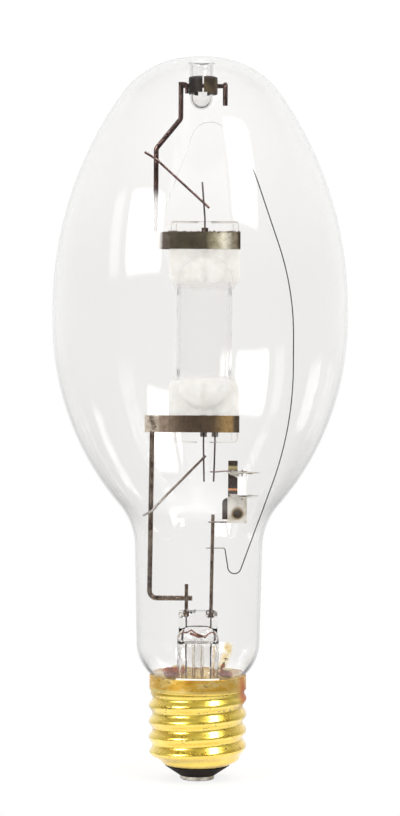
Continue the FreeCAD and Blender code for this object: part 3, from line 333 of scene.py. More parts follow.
lumpShape = {
    "waves": 7,
    "waveReach": 3.5,
    "lastPhase": 6,
    "divisions": 3,
}


def lump(mesh, center, size, seed, roughness=0.3, turn=0.0):
    # A rough clod: a ball whose points are pushed in and out, turned about Z.
    turning = Matrix.Rotation(turn, 3, "Z")
    source = random.Random(seed)
    waves = []
    for _ in range(lumpShape["waves"]):
        wave = Vector([source.uniform(-1, 1) for _ in range(3)]) * lumpShape["waveReach"]
        waves.append((wave, source.uniform(0, lumpShape["lastPhase"])))
    made = bmesh.ops.create_icosphere(mesh, subdivisions=lumpShape["divisions"], radius=1.0)
    for vert in made["verts"]:
        push = sum(math.sin(vert.co.dot(wave) + phase) for wave, phase in waves) / lumpShape["waves"]
        grown = vert.co * (1 + roughness * push)
        sized = turning @ Vector((grown.x * size[0], grown.y * size[1], grown.z * size[2]))
        vert.co = (sized + Vector(center)) * mm


def meshObject(name, mesh, smooth=True):
    data = bpy.data.meshes.new(name)
    mesh.to_mesh(data)
    mesh.free()
    for face in data.polygons:
        face.use_smooth = smooth
    piece = bpy.data.objects.new(name, data)
    bpy.context.scene.collection.objects.link(piece)
    return piece


def addPiece(name, mesh, material, replaced=None):
    bmesh.ops.recalc_face_normals(mesh, faces=mesh.faces)
    piece = meshObject(name, mesh)
    piece.data.materials.append(material)
    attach(piece, "lamp")
    if replaced:
        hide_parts(replaced)


def geometryTree(name, inputNames):
    # A geometry tree with a named number input for each size.
    tree = bpy.data.node_groups.new(name, "GeometryNodeTree")
    tree.interface.new_socket("Geometry", in_out="OUTPUT", socket_type="NodeSocketGeometry")
    for key in inputNames:
        tree.interface.new_socket(key, in_out="INPUT", socket_type="NodeSocketFloat")
    return tree, addNode(tree, "NodeGroupInput"), addNode(tree, "NodeGroupOutput")


def paintedResult(shape, material, result):
    # Gives the shape its material and hands it to the tree's output.
    painted = setInputs(nodeAfter("GeometryNodeSetMaterial", shape), Material=material)
    feed(result.inputs[0], painted.outputs[0])


def treeToMesh(name, tree, sizes):
    # Runs the tree as a modifier with its sizes and keeps the result as a plain mesh.
    holder = bpy.data.objects.new(name + "_holder", bpy.data.meshes.new(name + "_holder"))
    bpy.context.scene.collection.objects.link(holder)
    modifier = holder.modifiers.new(name, "NODES")
    modifier.node_group = tree
    for item in tree.interface.items_tree:
        if item.in_out == "INPUT" and item.name in sizes:
            modifier[item.identifier] = float(sizes[item.name])
    depsgraph = bpy.context.evaluated_depsgraph_get()
    depsgraph.update()
    data = bpy.data.meshes.new_from_object(holder.evaluated_get(depsgraph), depsgraph=depsgraph)
    bpy.data.objects.remove(holder)
    mesh = bmesh.new()
    mesh.from_mesh(data)
    bpy.data.meshes.remove(data)
    return mesh


# Bulb

bulb = {
    "wall": 1.1,
    "sealLevel": 27.0,
    "bellyRadius": 59.4,
    "bellyLevel": 184.3,
    "bandHeight": 5.6,
    "lowerArc": 113.3,
    "neckFillet": 27.0,
    "neckTopRadius": 25.6,
    "neckBottomRadius": 24.75,
    "chinLevel": 55.5,
    "chinArc": 18.4,
    "spigotFillet": 2.5,
    "spigotRadius": 16.8,
    "crownLevel": 290.2,
    "crownArc": 34.8,
    "crownOffset": 3.9,
    "dimpleRadius": 4.75,
    "dimpleDepth": 20.6,
    "mouthArc": 2.0,
    "around": 256,
}
arcSteps = {"spigot": 6, "chin": 20, "neck": 16, "belly": 34, "crown": 26, "mouth": 10, "dimple": 14}


def bulbOutline(skin):
    # The envelope's outline from the seal up to the dimple, moved into the glass by skin.
    b = bulb
    chin = (b["neckBottomRadius"] - b["chinArc"], b["chinLevel"])
    spigotX = b["spigotRadius"] + b["spigotFillet"]
    reach = b["chinArc"] + b["spigotFillet"]
    spigotTurn = (spigotX, chin[1] - math.sqrt(reach ** 2 - (spigotX - chin[0]) ** 2))
    low = (b["bellyRadius"] - b["lowerArc"], b["bellyLevel"])
    neckX = b["neckTopRadius"] + b["neckFillet"]
    reach = b["lowerArc"] + b["neckFillet"]
    neckTurn = (neckX, low[1] - math.sqrt(reach ** 2 - (neckX - low[0]) ** 2))
    crown = (b["crownOffset"], b["crownLevel"] - b["crownArc"])
    bandTop = b["bellyLevel"] + b["bandHeight"]
    across = b["bellyRadius"] - crown[0]
    rise = crown[1] - bandTop
    highArc = (across ** 2 + rise ** 2 - b["crownArc"] ** 2) / (2 * (across - b["crownArc"]))
    high = (b["bellyRadius"] - highArc, bandTop)
    bore = b["dimpleRadius"] - b["wall"]
    mouthX = bore + b["mouthArc"]
    drop = math.sqrt((b["crownArc"] - b["mouthArc"]) ** 2 - (mouthX - crown[0]) ** 2)
    mouth = (mouthX, crown[1] + drop)
    dimple = (0, b["crownLevel"] - b["dimpleDepth"] + b["dimpleRadius"])
    arcs = (
        (spigotTurn, b["spigotFillet"] + skin, math.pi, heading(spigotTurn, chin), arcSteps["spigot"]),
        (chin, b["chinArc"] - skin, heading(chin, spigotTurn), 0, arcSteps["chin"]),
        (neckTurn, b["neckFillet"] + skin, math.pi, heading(neckTurn, low), arcSteps["neck"]),
        (low, b["lowerArc"] - skin, heading(low, neckTurn), 0, arcSteps["belly"]),
        (high, highArc - skin, 0, heading(high, crown), arcSteps["belly"]),
        (crown, b["crownArc"] - skin, heading(high, crown), heading(crown, mouth), arcSteps["crown"]),
        (mouth, b["mouthArc"] - skin, heading(crown, mouth), math.pi, arcSteps["mouth"]),
        (dimple, bore + skin, 0, -math.pi / 2, arcSteps["dimple"]),
    )
    # Arcs that meet share a point, which is kept once.
    outline = [(b["spigotRadius"] - skin, b["sealLevel"])]
    for arc in arcs:
        for point in arcPoints(*arc):
            if math.dist(point, outline[-1]) > 0.01:
                outline.append(point)
    outline[-1] = (0, outline[-1][1])
    return outline


def innerRadius(level):
    # The inside radius of the bulb at a level of its neck.
    outline = bulbOutline(bulb["wall"])
    for low, high in zip(outline, outline[1:]):
        if low[1] <= level <= high[1]:
            share = (level - low[1]) / (high[1] - low[1])
            return low[0] + (high[0] - low[0]) * share
    return 0.0


def makeBulb():
    mesh = spun(bulbOutline(0) + bulbOutline(bulb["wall"])[::-1], bulb["around"])
    glass = clearGlass("bulb_clear_glass", (0.997, 0.993, 0.986), 1.5)
    addPiece("bulb_glass", mesh, glass, "outer_envelope")


makeBulb()
print("bulb made")


# Screw shell: a grid bent round the axis, with the rolled thread as a wave

shell = {
    "lipLevel": 6.0,
    "lipRadius": 13.1,
    "shoulderHeight": 6.0,
    "threadEnd": 36.0,
    "threadMiddle": 18.9,
    "threadWave": 0.75,
    "threadPitch": 6.35,
    "threadPhase": 13.7,
    "threadRunIn": 2.0,
    "threadRunOut": 3.2,
    "rimStepEnd": 36.4,
    "rimRadius": 19.45,
    "rimTop": 41.9,
}
shellMesh = {
    "wall": 0.35,
    "around": 240,
    "along": 150,
    "weld": 0.01,
}
# Edges are two places in millimetres, limits two levels of a share; ramps hold shares and colours
brass = {
    "threadRamp": ((0.3, (0.92, 0.58, 0.03)), (0.62, (0.99, 0.76, 0.1))),
    "rimRamp": ((0.32, (0.66, 0.3, 0.02)), (0.5, (0.88, 0.52, 0.07)), (0.66, (1.0, 0.8, 0.34))),
    "rimEdges": (36.1, 36.6),
    "lineColor": (0.95, 0.76, 0.24),
    "lineLowEdges": (36.3, 36.7),
    "lineHighEdges": (37.8, 37.0),
    "lineShare": 0.75,
    "rustColor": (0.42, 0.11, 0.025),
    "rustXEdges": (14.8, 18.2),
    "rustLevelEdges": (24.0, 34.0),
    "speckColor": (0.05, 0.035, 0.02),
    "metallicLimits": (0.74, 0.15),
    "lacquerLimits": (0.9, 0.3),
    "roughnessLimits": (0.24, 0.34),
    "dullness": 0.16,
}


def makeBrass():
    b = brass
    material, tree = newMaterial("rolled_brass")
    x, y, z = axes(tree)
    cloud = noise(tree, 90.0, 4.0, 0.6, (1, 1, 2.5))
    bright = ramp(cloud, *b["threadRamp"])
    dull = ramp(noise(tree, 110.0, 5.0, 0.7, (1, 1, 2.2)), *b["rimRamp"])
    rim = band(z, b["rimEdges"])
    colored = mixColor(rim, bright, dull)
    # A brighter line runs along the lower edge of the rim.
    line = product(band(z, b["lineLowEdges"]), band(z, b["lineHighEdges"]), b["lineShare"])
    colored = mixColor(line, colored, b["lineColor"])
    patches = span(noise(tree, 120.0, 3.0, 0.6), 0.35, 0.55)
    rusted = product(band(x, b["rustXEdges"]), band(z, b["rustLevelEdges"]), patches)
    colored = mixColor(rusted, colored, b["rustColor"])
    specks = span(noise(tree, 900.0, 2.0, 0.5, (1, 1, 2.5)), 0.6, 0.66)
    zones = span(noise(tree, 110.0, 2.0, 0.5, (1, 1, 3.0)), 0.52, 0.6)
    colored = mixColor(product(specks, zones), colored, b["speckColor"])
    metallic = span(rusted, 0.0, 1.0, *b["metallicLimits"])
    # The lacquer is worn on the rim and gone where it rusts.
    lacquer = product(span(rim, 0.0, 1.0, *b["lacquerLimits"]), span(rusted, 0.0, 1.0, 1.0, 0.0))
    dullness = product(mathNode("MAXIMUM", rim, rusted), b["dullness"])
    rough = mathNode("ADD", span(cloud, 0.3, 0.7, *b["roughnessLimits"]), dullness)
    metal = principled(tree, Base_Color=colored, Metallic=metallic, Roughness=rough, Coat_Weight=lacquer,
                       Coat_Roughness=0.18, Coat_IOR=2.0)
    # Fine rolling lines run round the shell.
    addBump(metal, noise(tree, 60.0, 3.0, 0.55, (1, 1, 24.0)), 0.45, 0.2)
    return finishMaterial(material, metal)


def threadTree(material):
    tree, given, result = geometryTree("rolledThread", shell)
    size = given.outputs
    grid = addNode(tree, "GeometryNodeMeshGrid")
    setInputs(grid, Size_X=1.0, Size_Y=1.0,
              Vertices_X=shellMesh["around"] + 1, Vertices_Y=shellMesh["along"] + 1)
    place = separated(addNode(tree, "GeometryNodeInputPosition").outputs[0])
    turn = mathNode("ADD", place[0], 0.5)
    level = span(place[1], -0.5, 0.5, size["lipLevel"], size["rimTop"], smooth=False)
    # The shoulder widens from the lip to the thread as a quarter sine.
    shoulderEnd = mathNode("ADD", size["lipLevel"], size["shoulderHeight"])
    climb = span(level, size["lipLevel"], shoulderEnd, 0.0, math.pi / 2, smooth=False)
    widening = mathNode("SUBTRACT", size["threadMiddle"], size["lipRadius"])
    taper = mathNode("ADD", product(mathNode("SINE", climb), widening), size["lipRadius"])
    rimStep = mathNode("SUBTRACT", size["rimRadius"], size["threadMiddle"])
    step = span(level, size["threadEnd"], size["rimStepEnd"], 0.0, rimStep)
    # The thread's wave fades at both ends.
    fadeIn = mathNode("ADD", size["lipLevel"], size["threadRunIn"])
    fadeOut = mathNode("SUBTRACT", size["threadEnd"], size["threadRunOut"])
    rising = span(level, size["lipLevel"], fadeIn)
    falling = span(level, fadeOut, size["threadEnd"], 1.0, 0.0)
    rise = mathNode("SUBTRACT", level, size["threadPhase"])
    turns = mathNode("DIVIDE", rise, size["threadPitch"])
    phase = product(mathNode("SUBTRACT", turns, turn), 2 * math.pi)
    wave = product(mathNode("COSINE", phase), size["threadWave"], rising, falling)
    radius = mathNode("ADD", mathNode("ADD", taper, wave), step)
    angle = product(turn, 2 * math.pi)
    point = combined(product(radius, mathNode("COSINE", angle)),
                     product(radius, mathNode("SINE", angle)), level)
    inMetres = addNode(tree, "ShaderNodeVectorMath", operation="SCALE")
    setInputs(inMetres, Vector=point, Scale=mm)
    bent = addNode(tree, "GeometryNodeSetPosition")
    setInputs(bent, Geometry=grid.outputs["Mesh"], Position=inMetres.outputs[0])
    paintedResult(bent.outputs[0], material, result)
    return tree


def makeScrewShell():
    material = makeBrass()
    mesh = treeToMesh("screw_shell", threadTree(material), shell)
    bmesh.ops.remove_doubles(mesh, verts=mesh.verts, dist=shellMesh["weld"] * mm)
    bmesh.ops.recalc_face_normals(mesh, faces=mesh.faces)
    bmesh.ops.solidify(mesh, geom=mesh.faces[:], thickness=shellMesh["wall"] * mm)
    addPiece("screw_shell", mesh, material, "base_shell")


makeScrewShell()
print("screw shell made")


# Finishes of the nodes that keep their CAD shape

# Colours along X, with painted highlights, a painted reflection and painted shade: places in millimetres
# and colours
# The lower jumper is dark; its pale left end is a painted reflection.
lowerJumperColorAndPaintedReflection = (
    (-22.6, (0.68, 0.65, 0.63)), (-17.0, (0.5, 0.45, 0.43)), (-12.0, (0.27, 0.2, 0.185)),
    (4.0, (0.14, 0.1, 0.09)),
)
# The upper strap is dark olive; its pale left lug and bright patch near 9 mm are painted highlights, and
# its dark bends are painted shade.
upperStrapColorAndPaintedLight = (
    (-22.0, (0.35, 0.31, 0.28)), (-15.9, (0.3, 0.26, 0.23)), (-14.9, (0.12, 0.09, 0.07)),
    (-9.0, (0.068, 0.055, 0.032)), (2.0, (0.08, 0.068, 0.04)), (4.0, (0.28, 0.24, 0.15)),
    (6.5, (0.46, 0.41, 0.29)), (9.0, (0.84, 0.78, 0.64)), (11.2, (0.66, 0.61, 0.5)),
    (13.0, (0.28, 0.24, 0.17)), (14.5, (0.24, 0.2, 0.13)), (15.4, (0.06, 0.045, 0.03)),
)
# The lower strap is dark brown; its pale left end and coppery stretch near 11 mm are painted highlights.
lowerStrapColorAndPaintedLight = (
    (-22.0, (0.72, 0.63, 0.53)), (-16.9, (0.66, 0.56, 0.46)), (-15.9, (0.36, 0.27, 0.2)),
    (-9.0, (0.15, 0.105, 0.07)), (-4.0, (0.095, 0.062, 0.036)), (2.0, (0.09, 0.06, 0.035)),
    (6.0, (0.13, 0.085, 0.045)), (10.5, (0.38, 0.24, 0.095)), (13.0, (0.36, 0.23, 0.09)),
    (14.2, (0.1, 0.07, 0.045)),
)

# The field wire's pale stretches: over the top, and at its foot
fieldWirePatches = (
    {"xEdges": (18.0, 10.0), "levelEdges": (200.0, 210.0), "color": (1.0, 0.98, 0.97)},
    {"xEdges": (11.2, 9.5), "levelEdges": (110.0, 100.0), "color": (0.45, 0.4, 0.37)},
)

# The khaki band across the bimetal strip, and a copper-coloured painted reflection where the strip bends
stripBandAndPaintedGlint = (
    {"lowEdges": (124.6, 124.9), "highEdges": (126.4, 126.1), "color": (0.4, 0.33, 0.17)},
    # A painted reflection on the strip's bend
    {"lowEdges": (116.3, 116.6), "highEdges": (117.4, 117.1), "color": (0.75, 0.33, 0.14)},
)

# The tan ring round the rivet
rivetRing = {"x": 15.5, "level": 107.5, "edges": (3.1, 1.9), "color": (0.3, 0.2, 0.09)}

# The upper seal is burnt dark
burntSeal = {"edges": (190.0, 200.0), "color": (0.1, 0.055, 0.045)}


def fieldWireTone(tree, color):
    x, y, z = axes(tree)
    for patch in fieldWirePatches:
        share = product(band(x, patch["xEdges"]), band(z, patch["levelEdges"]))
        color = mixColor(share, color, patch["color"])
    return color


def stripBandAndGlintTone(tree, color):
    level = axes(tree)[2]
    # The khaki band is the strip's own colour; the copper band is a painted reflection.
    for stripe in stripBandAndPaintedGlint:
        share = product(band(level, stripe["lowEdges"]), band(level, stripe["highEdges"]))
        color = mixColor(share, color, stripe["color"])
    return color


def plateTone(tree, color):
    x, y, z = axes(tree)
    across = mathNode("SUBTRACT", x, rivetRing["x"] * mm)
    above = mathNode("SUBTRACT", z, rivetRing["level"] * mm)
    squared = mathNode("ADD", product(across, across), product(above, above))
    ring = band(mathNode("SQRT", squared), rivetRing["edges"])
    return mixColor(ring, color, rivetRing["color"])


def foilTone(tree, color):
    return mixColor(band(axes(tree)[2], burntSeal["edges"]), color, burntSeal["color"])


# Each finish: the nodes that wear it, then what wornMetal is given
metalFinishes = {
    "contact_tin": (("center_contact",), {
        "color": (0.8, 0.77, 0.72), "stain": (0.5, 0.45, 0.38), "roughness": 0.35,
        "grain": 500.0, "stainScale": 260.0, "metallic": 0.8}),
    "frame_wire_nickel": (("left_stem_rod", "right_stem_rod", "lower_frame_wire"), {
        "color": (0.4, 0.31, 0.24), "stain": (0.13, 0.085, 0.07), "roughness": 0.26,
        "stretch": (1, 1, 0.15), "stainScale": 260.0, "metallic": 0.75}),
    "upper_frame_nickel": (("upper_frame_wire", "clip_hook"), {
        "color": (0.2, 0.12, 0.105), "stain": (0.06, 0.035, 0.03), "roughness": 0.26,
        "stretch": (1, 1, 0.15), "stainScale": 260.0, "metallic": 0.8}),
    "lead_wire": (("left_lead_in", "right_lead_in", "upper_lead", "main_lead", "probe_lead"), {
        "color": (0.12, 0.09, 0.085), "stain": (0.05, 0.035, 0.035), "roughness": 0.35}),
    "field_wire": (("field_wire",), {
        "color": (0.07, 0.058, 0.052), "stain": (0.03, 0.024, 0.022), "roughness": 0.4,
        "tone": fieldWireTone}),
    "upper_jumper_wire": (("upper_jumper",), {
        "color": (0.28, 0.175, 0.165), "stain": (0.12, 0.075, 0.07), "roughness": 0.28, "metallic": 0.7}),
    "lower_jumper_wire": (("lower_jumper",), {"gradient": lowerJumperColorAndPaintedReflection, "roughness": 0.3}),
    "link_wire": (("plate_link", "probe_link", "resistor_lower_lead", "resistor_upper_lead"), {
        "color": (0.4, 0.32, 0.3), "stain": (0.22, 0.16, 0.15), "roughness": 0.35}),
    # The clip's left half is darker than its right half.
    "clip_left_dark": (("dimple_clip_left",), {
        "color": (0.028, 0.018, 0.013), "stain": (0.012, 0.008, 0.006), "roughness": 0.45,
        "grain": 700.0, "stainScale": 160.0}),
    "clip_right_brown": (("dimple_clip_right",), {
        "color": (0.12, 0.085, 0.042), "stain": (0.06, 0.042, 0.026), "roughness": 0.4,
        "grain": 700.0, "stainScale": 160.0}),
    "upper_strap_steel": (("upper_strap",), {
        "gradient": upperStrapColorAndPaintedLight, "roughness": 0.42, "metallic": 0.2}),
    "lower_strap_steel": (("lower_strap",), {
        "gradient": lowerStrapColorAndPaintedLight, "roughness": 0.42, "metallic": 0.2}),
    "seal_foil": (("upper_main_foil", "lower_main_foil", "probe_foil"), {
        "color": (0.52, 0.48, 0.45), "stain": (0.36, 0.31, 0.28), "roughness": 0.45, "tone": foilTone}),
    "tungsten": (("upper_electrode", "upper_electrode_coil", "lower_electrode", "lower_electrode_coil",
                  "starting_probe"), {
        "color": (0.42, 0.4, 0.38), "stain": (0.28, 0.26, 0.25), "roughness": 0.45}),
    "mercury": (("mercury_bead",), {
        "color": (0.4, 0.38, 0.38), "stain": (0.28, 0.26, 0.26), "roughness": 0.1, "metallic": 0.9}),
    "terminal_steel": (("upper_terminal",), {
        "color": (0.85, 0.82, 0.76), "stain": (0.62, 0.56, 0.47), "roughness": 0.42,
        "grain": 500.0, "stainScale": 300.0, "metallic": 0.25}),
    "riveted_plate_steel": (("switch_plate",), {
        "color": (0.82, 0.79, 0.73), "stain": (0.6, 0.54, 0.44), "roughness": 0.42,
        "grain": 500.0, "stainScale": 300.0, "metallic": 0.25, "tone": plateTone}),
    "rivet_steel": (("switch_rivet",), {
        "color": (0.11, 0.085, 0.06), "stain": (0.05, 0.04, 0.03), "roughness": 0.35}),
    "bimetal_strip": (("bimetal_arm", "strip_foot"), {
        "color": (0.075, 0.05, 0.038), "stain": (0.035, 0.024, 0.018), "roughness": 0.55,
        "stainScale": 300.0, "metallic": 0.2, "tone": stripBandAndGlintTone}),
}

# The other nodes: the function that makes the finish and what it is given
otherFinishes = {
    "base_insulator": (mattPaint, {
        "name": "insulator_black_glass", "low": (0.006, 0.004, 0.003), "high": (0.018, 0.011, 0.008),
        "scale": 220.0, "roughness": 0.55, "specular": 0.12}),
    # The cement's brown is its own; its pale gold stands partly for glints, painted highlights on its inner
    # face.
    "basing_cement": (mattPaint, {
        "name": "basing_cement", "low": (0.5, 0.28, 0.08), "high": (1.0, 0.82, 0.45),
        "scale": 300.0, "roughness": 0.8, "bump": 0.8, "depth": 0.6}),
    "resistor_body": (mattPaint, {
        "name": "resistor_ceramic", "low": (0.93, 0.92, 0.9), "high": (0.99, 0.985, 0.98),
        "scale": 300.0, "roughness": 0.6}),
    "glass_stem": (clearGlass, {
        "name": "stem_glass", "tint": (1.0, 0.99, 0.98), "ior": 1.4, "waviness": 0.45, "waveScale": 230.0}),
    "arc_tube": (clearGlass, {
        "name": "arc_tube_quartz", "tint": (1.0, 0.995, 0.99), "ior": 1.25,
        "waviness": 0.12, "waveScale": 160.0}),
    "upper_heat_coating": (heatCoat, {
        "name": "upper_heat_coat", "low": (0.94, 0.915, 0.875), "high": (0.99, 0.985, 0.975),
        "edges": (196.4, 202.5)}),
    "lower_heat_coating": (heatCoat, {
        "name": "lower_heat_coat", "low": (0.98, 0.96, 0.92), "high": (1.0, 1.0, 0.99),
        "edges": (163.6, 159.0)}),
}


def makeFinishes():
    for name, (painted, look) in metalFinishes.items():
        material = wornMetal(name, **look)
        for nodeName in painted:
            paint(nodeName, material)
    for nodeName, (makeFinish, look) in otherFinishes.items():
        paint(nodeName, makeFinish(**look))


makeFinishes()
print("finishes set")


# Small parts that only the looks need

pressRidge = {
    "arcX": 1.7,
    "frontY": -0.85,
    "backY": 4.35,
    "halfWidth": 13.6,
    "middleGap": 2.6,
    "ribInset": 2.1,
    "ribDrop": 0.9,
    "ribShare": 0.8,
    "corner": 1.4,
    "cornerSteps": 6,
    "endInset": 0.3,
    "radius": 0.13,
    # The level of a press's end, the level where its ridges start and the way it points
    "presses": ((224.6, 220.7, 1), (135.4, 139.3, -1)),
}


def makePressRidges():
    # Rounded ridges that the pinching leaves along the exposed ends of both presses.
    p = pressRidge
    mesh = bmesh.new()
    for end, start, side in p["presses"]:
        top = end - side * p["endInset"]
        for y in (p["frontY"], p["backY"]):
            for flip in (-1, 1):
                corner = (p["arcX"] + flip * (p["halfWidth"] - p["corner"]), top - side * p["corner"])
                path = [(p["arcX"] + flip * p["halfWidth"], y, start)]
                for step in range(p["cornerSteps"] + 1):
                    angle = math.pi / 2 * step / p["cornerSteps"]
                    path.append((corner[0] + flip * p["corner"] * math.cos(angle), y,
                                 corner[1] + side * p["corner"] * math.sin(angle)))
                path.append((p["arcX"] + flip * p["middleGap"], y, top))
                tube(mesh, path, p["radius"])
                inner = p["arcX"] + flip * (p["halfWidth"] - p["ribInset"])
                rib = [(inner, y, start), (inner, y, top - side * p["ribDrop"])]
                tube(mesh, rib, p["radius"] * p["ribShare"])
    material = clearGlass("press_ridge_quartz", (0.93, 0.88, 0.82), 1.25, (0.95, 0.93, 0.9))
    addPiece("press_ridges", mesh, material)


# Cement between the glass and the back of the rim: dark burnt clods and pale crumbs. Each lump has a
# bearing in degrees, a reach, a level, a size (radial, along the rim, upright) and a seed
cementLumps = {
    "cement_clods": {
        "paint": {"name": "burnt_cement", "low": (0.1, 0.009, 0.001), "high": (0.46, 0.1, 0.01),
                  "scale": 420.0, "roughness": 0.8, "bump": 0.8, "specular": 0.1, "depth": 0.5},
        "lumps": ((133.0, 17.1, 40.2, (1.3, 4.3, 2.6), 5), (124.0, 16.7, 41.5, (1.1, 2.7, 1.9), 8),
                  (48.8, 17.2, 39.9, (1.2, 2.9, 1.6), 11), (36.9, 17.3, 39.6, (1.2, 2.5, 1.2), 13),
                  (53.3, 17.2, 42.6, (0.6, 0.8, 1.7), 17))},
    "cement_crumbs": {
        "paint": {"name": "pale_cement", "low": (0.5, 0.34, 0.16), "high": (0.85, 0.75, 0.52),
                  "scale": 500.0, "roughness": 0.8, "bump": 0.8, "depth": 0.4},
        "lumps": ((121.6, 16.7, 43.0, (0.9, 2.2, 0.8), 23), (44.6, 17.0, 42.0, (0.8, 2.7, 0.8), 29))},
}


def makeCementLumps():
    for name, group in cementLumps.items():
        mesh = bmesh.new()
        for bearing, reach, level, size, seed in group["lumps"]:
            turn = math.radians(bearing)
            lump(mesh, polar(reach, turn, level), size, seed, turn=turn)
        addPiece(name, mesh, mattPaint(**group["paint"]))


# Sizes of the painted highlight above the front of the rim
paintedRimHighlight = {
    "level": 42.2,
    "radius": 0.5,
    "inset": 0.35,
    "halfAngle": 29.0,
    "steps": 24,
}


def makePaintedRimHighlight():
    # A painted highlight: a pale band inside the glass above the front of the rim, in place of a
    # reflection.
    c = paintedRimHighlight
    reach = innerRadius(c["level"]) - c["inset"]
    mesh = bmesh.new()
    path = []
    for step in range(c["steps"] + 1):
        angle = math.radians(-90 - c["halfAngle"] + 2 * c["halfAngle"] * step / c["steps"])
        path.append(polar(reach, angle, c["level"]))
    tube(mesh, path, c["radius"])
    # White paint for a reflection highlight
    white = mattPaint("painted_highlight_white", (0.9, 0.87, 0.82), (1.0, 0.99, 0.97), 300.0, 0.7)
    addPiece("painted_rim_highlight", mesh, white)


stain = {
    "low": 42.6,
    "high": 53.6,
    "leftAngle": 65.0,
    "rightAngle": 48.0,
    "softAngle": 7.0,
    "softEnd": 3.0,
    "narrowing": 0.2,
    "raggedness": 0.1,
    "inset": 0.12,
    "thickness": 0.08,
    "rows": 24,
    "columns": 10,
    "seed": 41,
}


def makeDust():
    # Cement dust in patches, which fades towards the film's sides and top.
    s = stain
    material, tree = newMaterial("cement_dust")
    colored = ramp(noise(tree, 500.0, 4.0, 0.7), (0.3, (0.75, 0.5, 0.12)), (0.6, (0.95, 0.85, 0.55)))
    dust = setInputs(addNode(tree, "ShaderNodeBsdfDiffuse"), Color=colored)
    clear = addNode(tree, "ShaderNodeBsdfTransparent")
    patches = span(noise(tree, 260.0, 4.0, 0.7), 0.34, 0.6, 0.15, 0.9)
    x, y, z = axes(tree)
    bearing = mathNode("DEGREES", mathNode("ARCTAN2", y, x))
    fromRight = span(bearing, s["rightAngle"], s["rightAngle"] + s["softAngle"])
    fromLeft = span(bearing, s["leftAngle"], s["leftAngle"] - s["softAngle"])
    fromTop = band(z, (s["high"], s["high"] - s["softEnd"]))
    share = product(patches, fromRight, fromLeft, fromTop)
    return finishMaterial(material, mixShader(share, clear, dust))


def makeStain():
    # A thin yellow film of cement dust on the inside of the neck, with ragged sides.
    s = stain
    source = random.Random(s["seed"])
    mesh = bmesh.new()
    middle = (s["leftAngle"] + s["rightAngle"]) / 2
    rows = []
    for row in range(s["rows"] + 1):
        climb = row / s["rows"]
        level = s["low"] + (s["high"] - s["low"]) * climb
        reach = innerRadius(level) - s["inset"]
        narrowing = s["narrowing"] * climb + source.uniform(-s["raggedness"], s["raggedness"])
        half = (s["leftAngle"] - s["rightAngle"]) / 2 * (1 - narrowing)
        line = []
        for column in range(s["columns"] + 1):
            angle = math.radians(middle + half * (1 - 2 * column / s["columns"]))
            line.append(newPoint(mesh, polar(reach, angle, level)))
        rows.append(line)
    joinRows(mesh, rows)
    bmesh.ops.recalc_face_normals(mesh, faces=mesh.faces)
    bmesh.ops.solidify(mesh, geom=mesh.faces[:], thickness=s["thickness"] * mm)
    addPiece("cement_dust_film", mesh, makeDust())


stemBeads = {
    "y": -0.6,
    "depth": 1.6,
    "flatness": 0.95,
    "roughness": 0.5,
    # Where a bead is along X, its level, size and seed
    "beads": ((-4.8, 66.9, 1.7, 3), (-6.6, 66.0, 1.1, 4), (-3.0, 67.3, 0.9, 6), (5.15, 66.7, 1.7, 7),
              (6.9, 66.4, 1.0, 9), (3.6, 65.9, 0.9, 10), (-1.4, 67.6, 0.7, 12)),
}


def makeStemBeads():
    # Melted beads round the rods on top of the press.
    s = stemBeads
    mesh = bmesh.new()
    for x, level, size, seed in s["beads"]:
        lump(mesh, (x, s["y"], level), (size, s["depth"], size * s["flatness"]), seed, s["roughness"])
    glass = clearGlass("bead_glass", (0.96, 0.93, 0.91), 1.5)
    addPiece("stem_beads", mesh, glass)


burntLine = {
    "radius": 0.22,
    "route": ((-7.9, -1.2, 56.1), (-6.8, -1.6, 57.8), (-5.5, -1.9, 58.5), (-3.8, -2.0, 58.2),
              (-2.3, -2.1, 58.9), (-1.2, -2.1, 58.2), (-0.3, -2.1, 57.7), (0.9, -2.1, 57.4),
              (2.1, -2.0, 56.9), (3.4, -2.0, 57.9), (4.5, -1.9, 58.5), (6.2, -1.7, 58.3),
              (7.4, -1.2, 56.1)),
    "branchRadius": 0.3,
    "branch": ((-2.6, -2.0, 58.0), (0.0, -2.0, 57.0), (2.2, -2.0, 57.2)),
}


def makeBurntLine():
    # The burnt line along the arch of the stem, with a thicker branch in its middle.
    mesh = bmesh.new()
    tube(mesh, burntLine["route"], burntLine["radius"])
    tube(mesh, burntLine["branch"], burntLine["branchRadius"])
    rust = mattPaint("burnt_seal_line", (0.07, 0.02, 0.012), (0.35, 0.12, 0.07), 700.0, 0.6)
    addPiece("burnt_seal_line", mesh, rust)


tornTabs = {
    "steps": 16,
    "across": 6,
    "thickness": 0.15,
    "tipHalf": 0.08,
    "narrowing": 0.8,
    "ripple": 0.35,
    "fold": 0.2,
    "tabs": ({"x": 12.6, "level": 123.6, "length": 12.0, "width": 3.4, "tilt": 0.5, "seed": 51},
             {"x": 12.2, "level": 114.4, "length": 12.0, "width": 3.0, "tilt": 0.45, "seed": 53}),
}


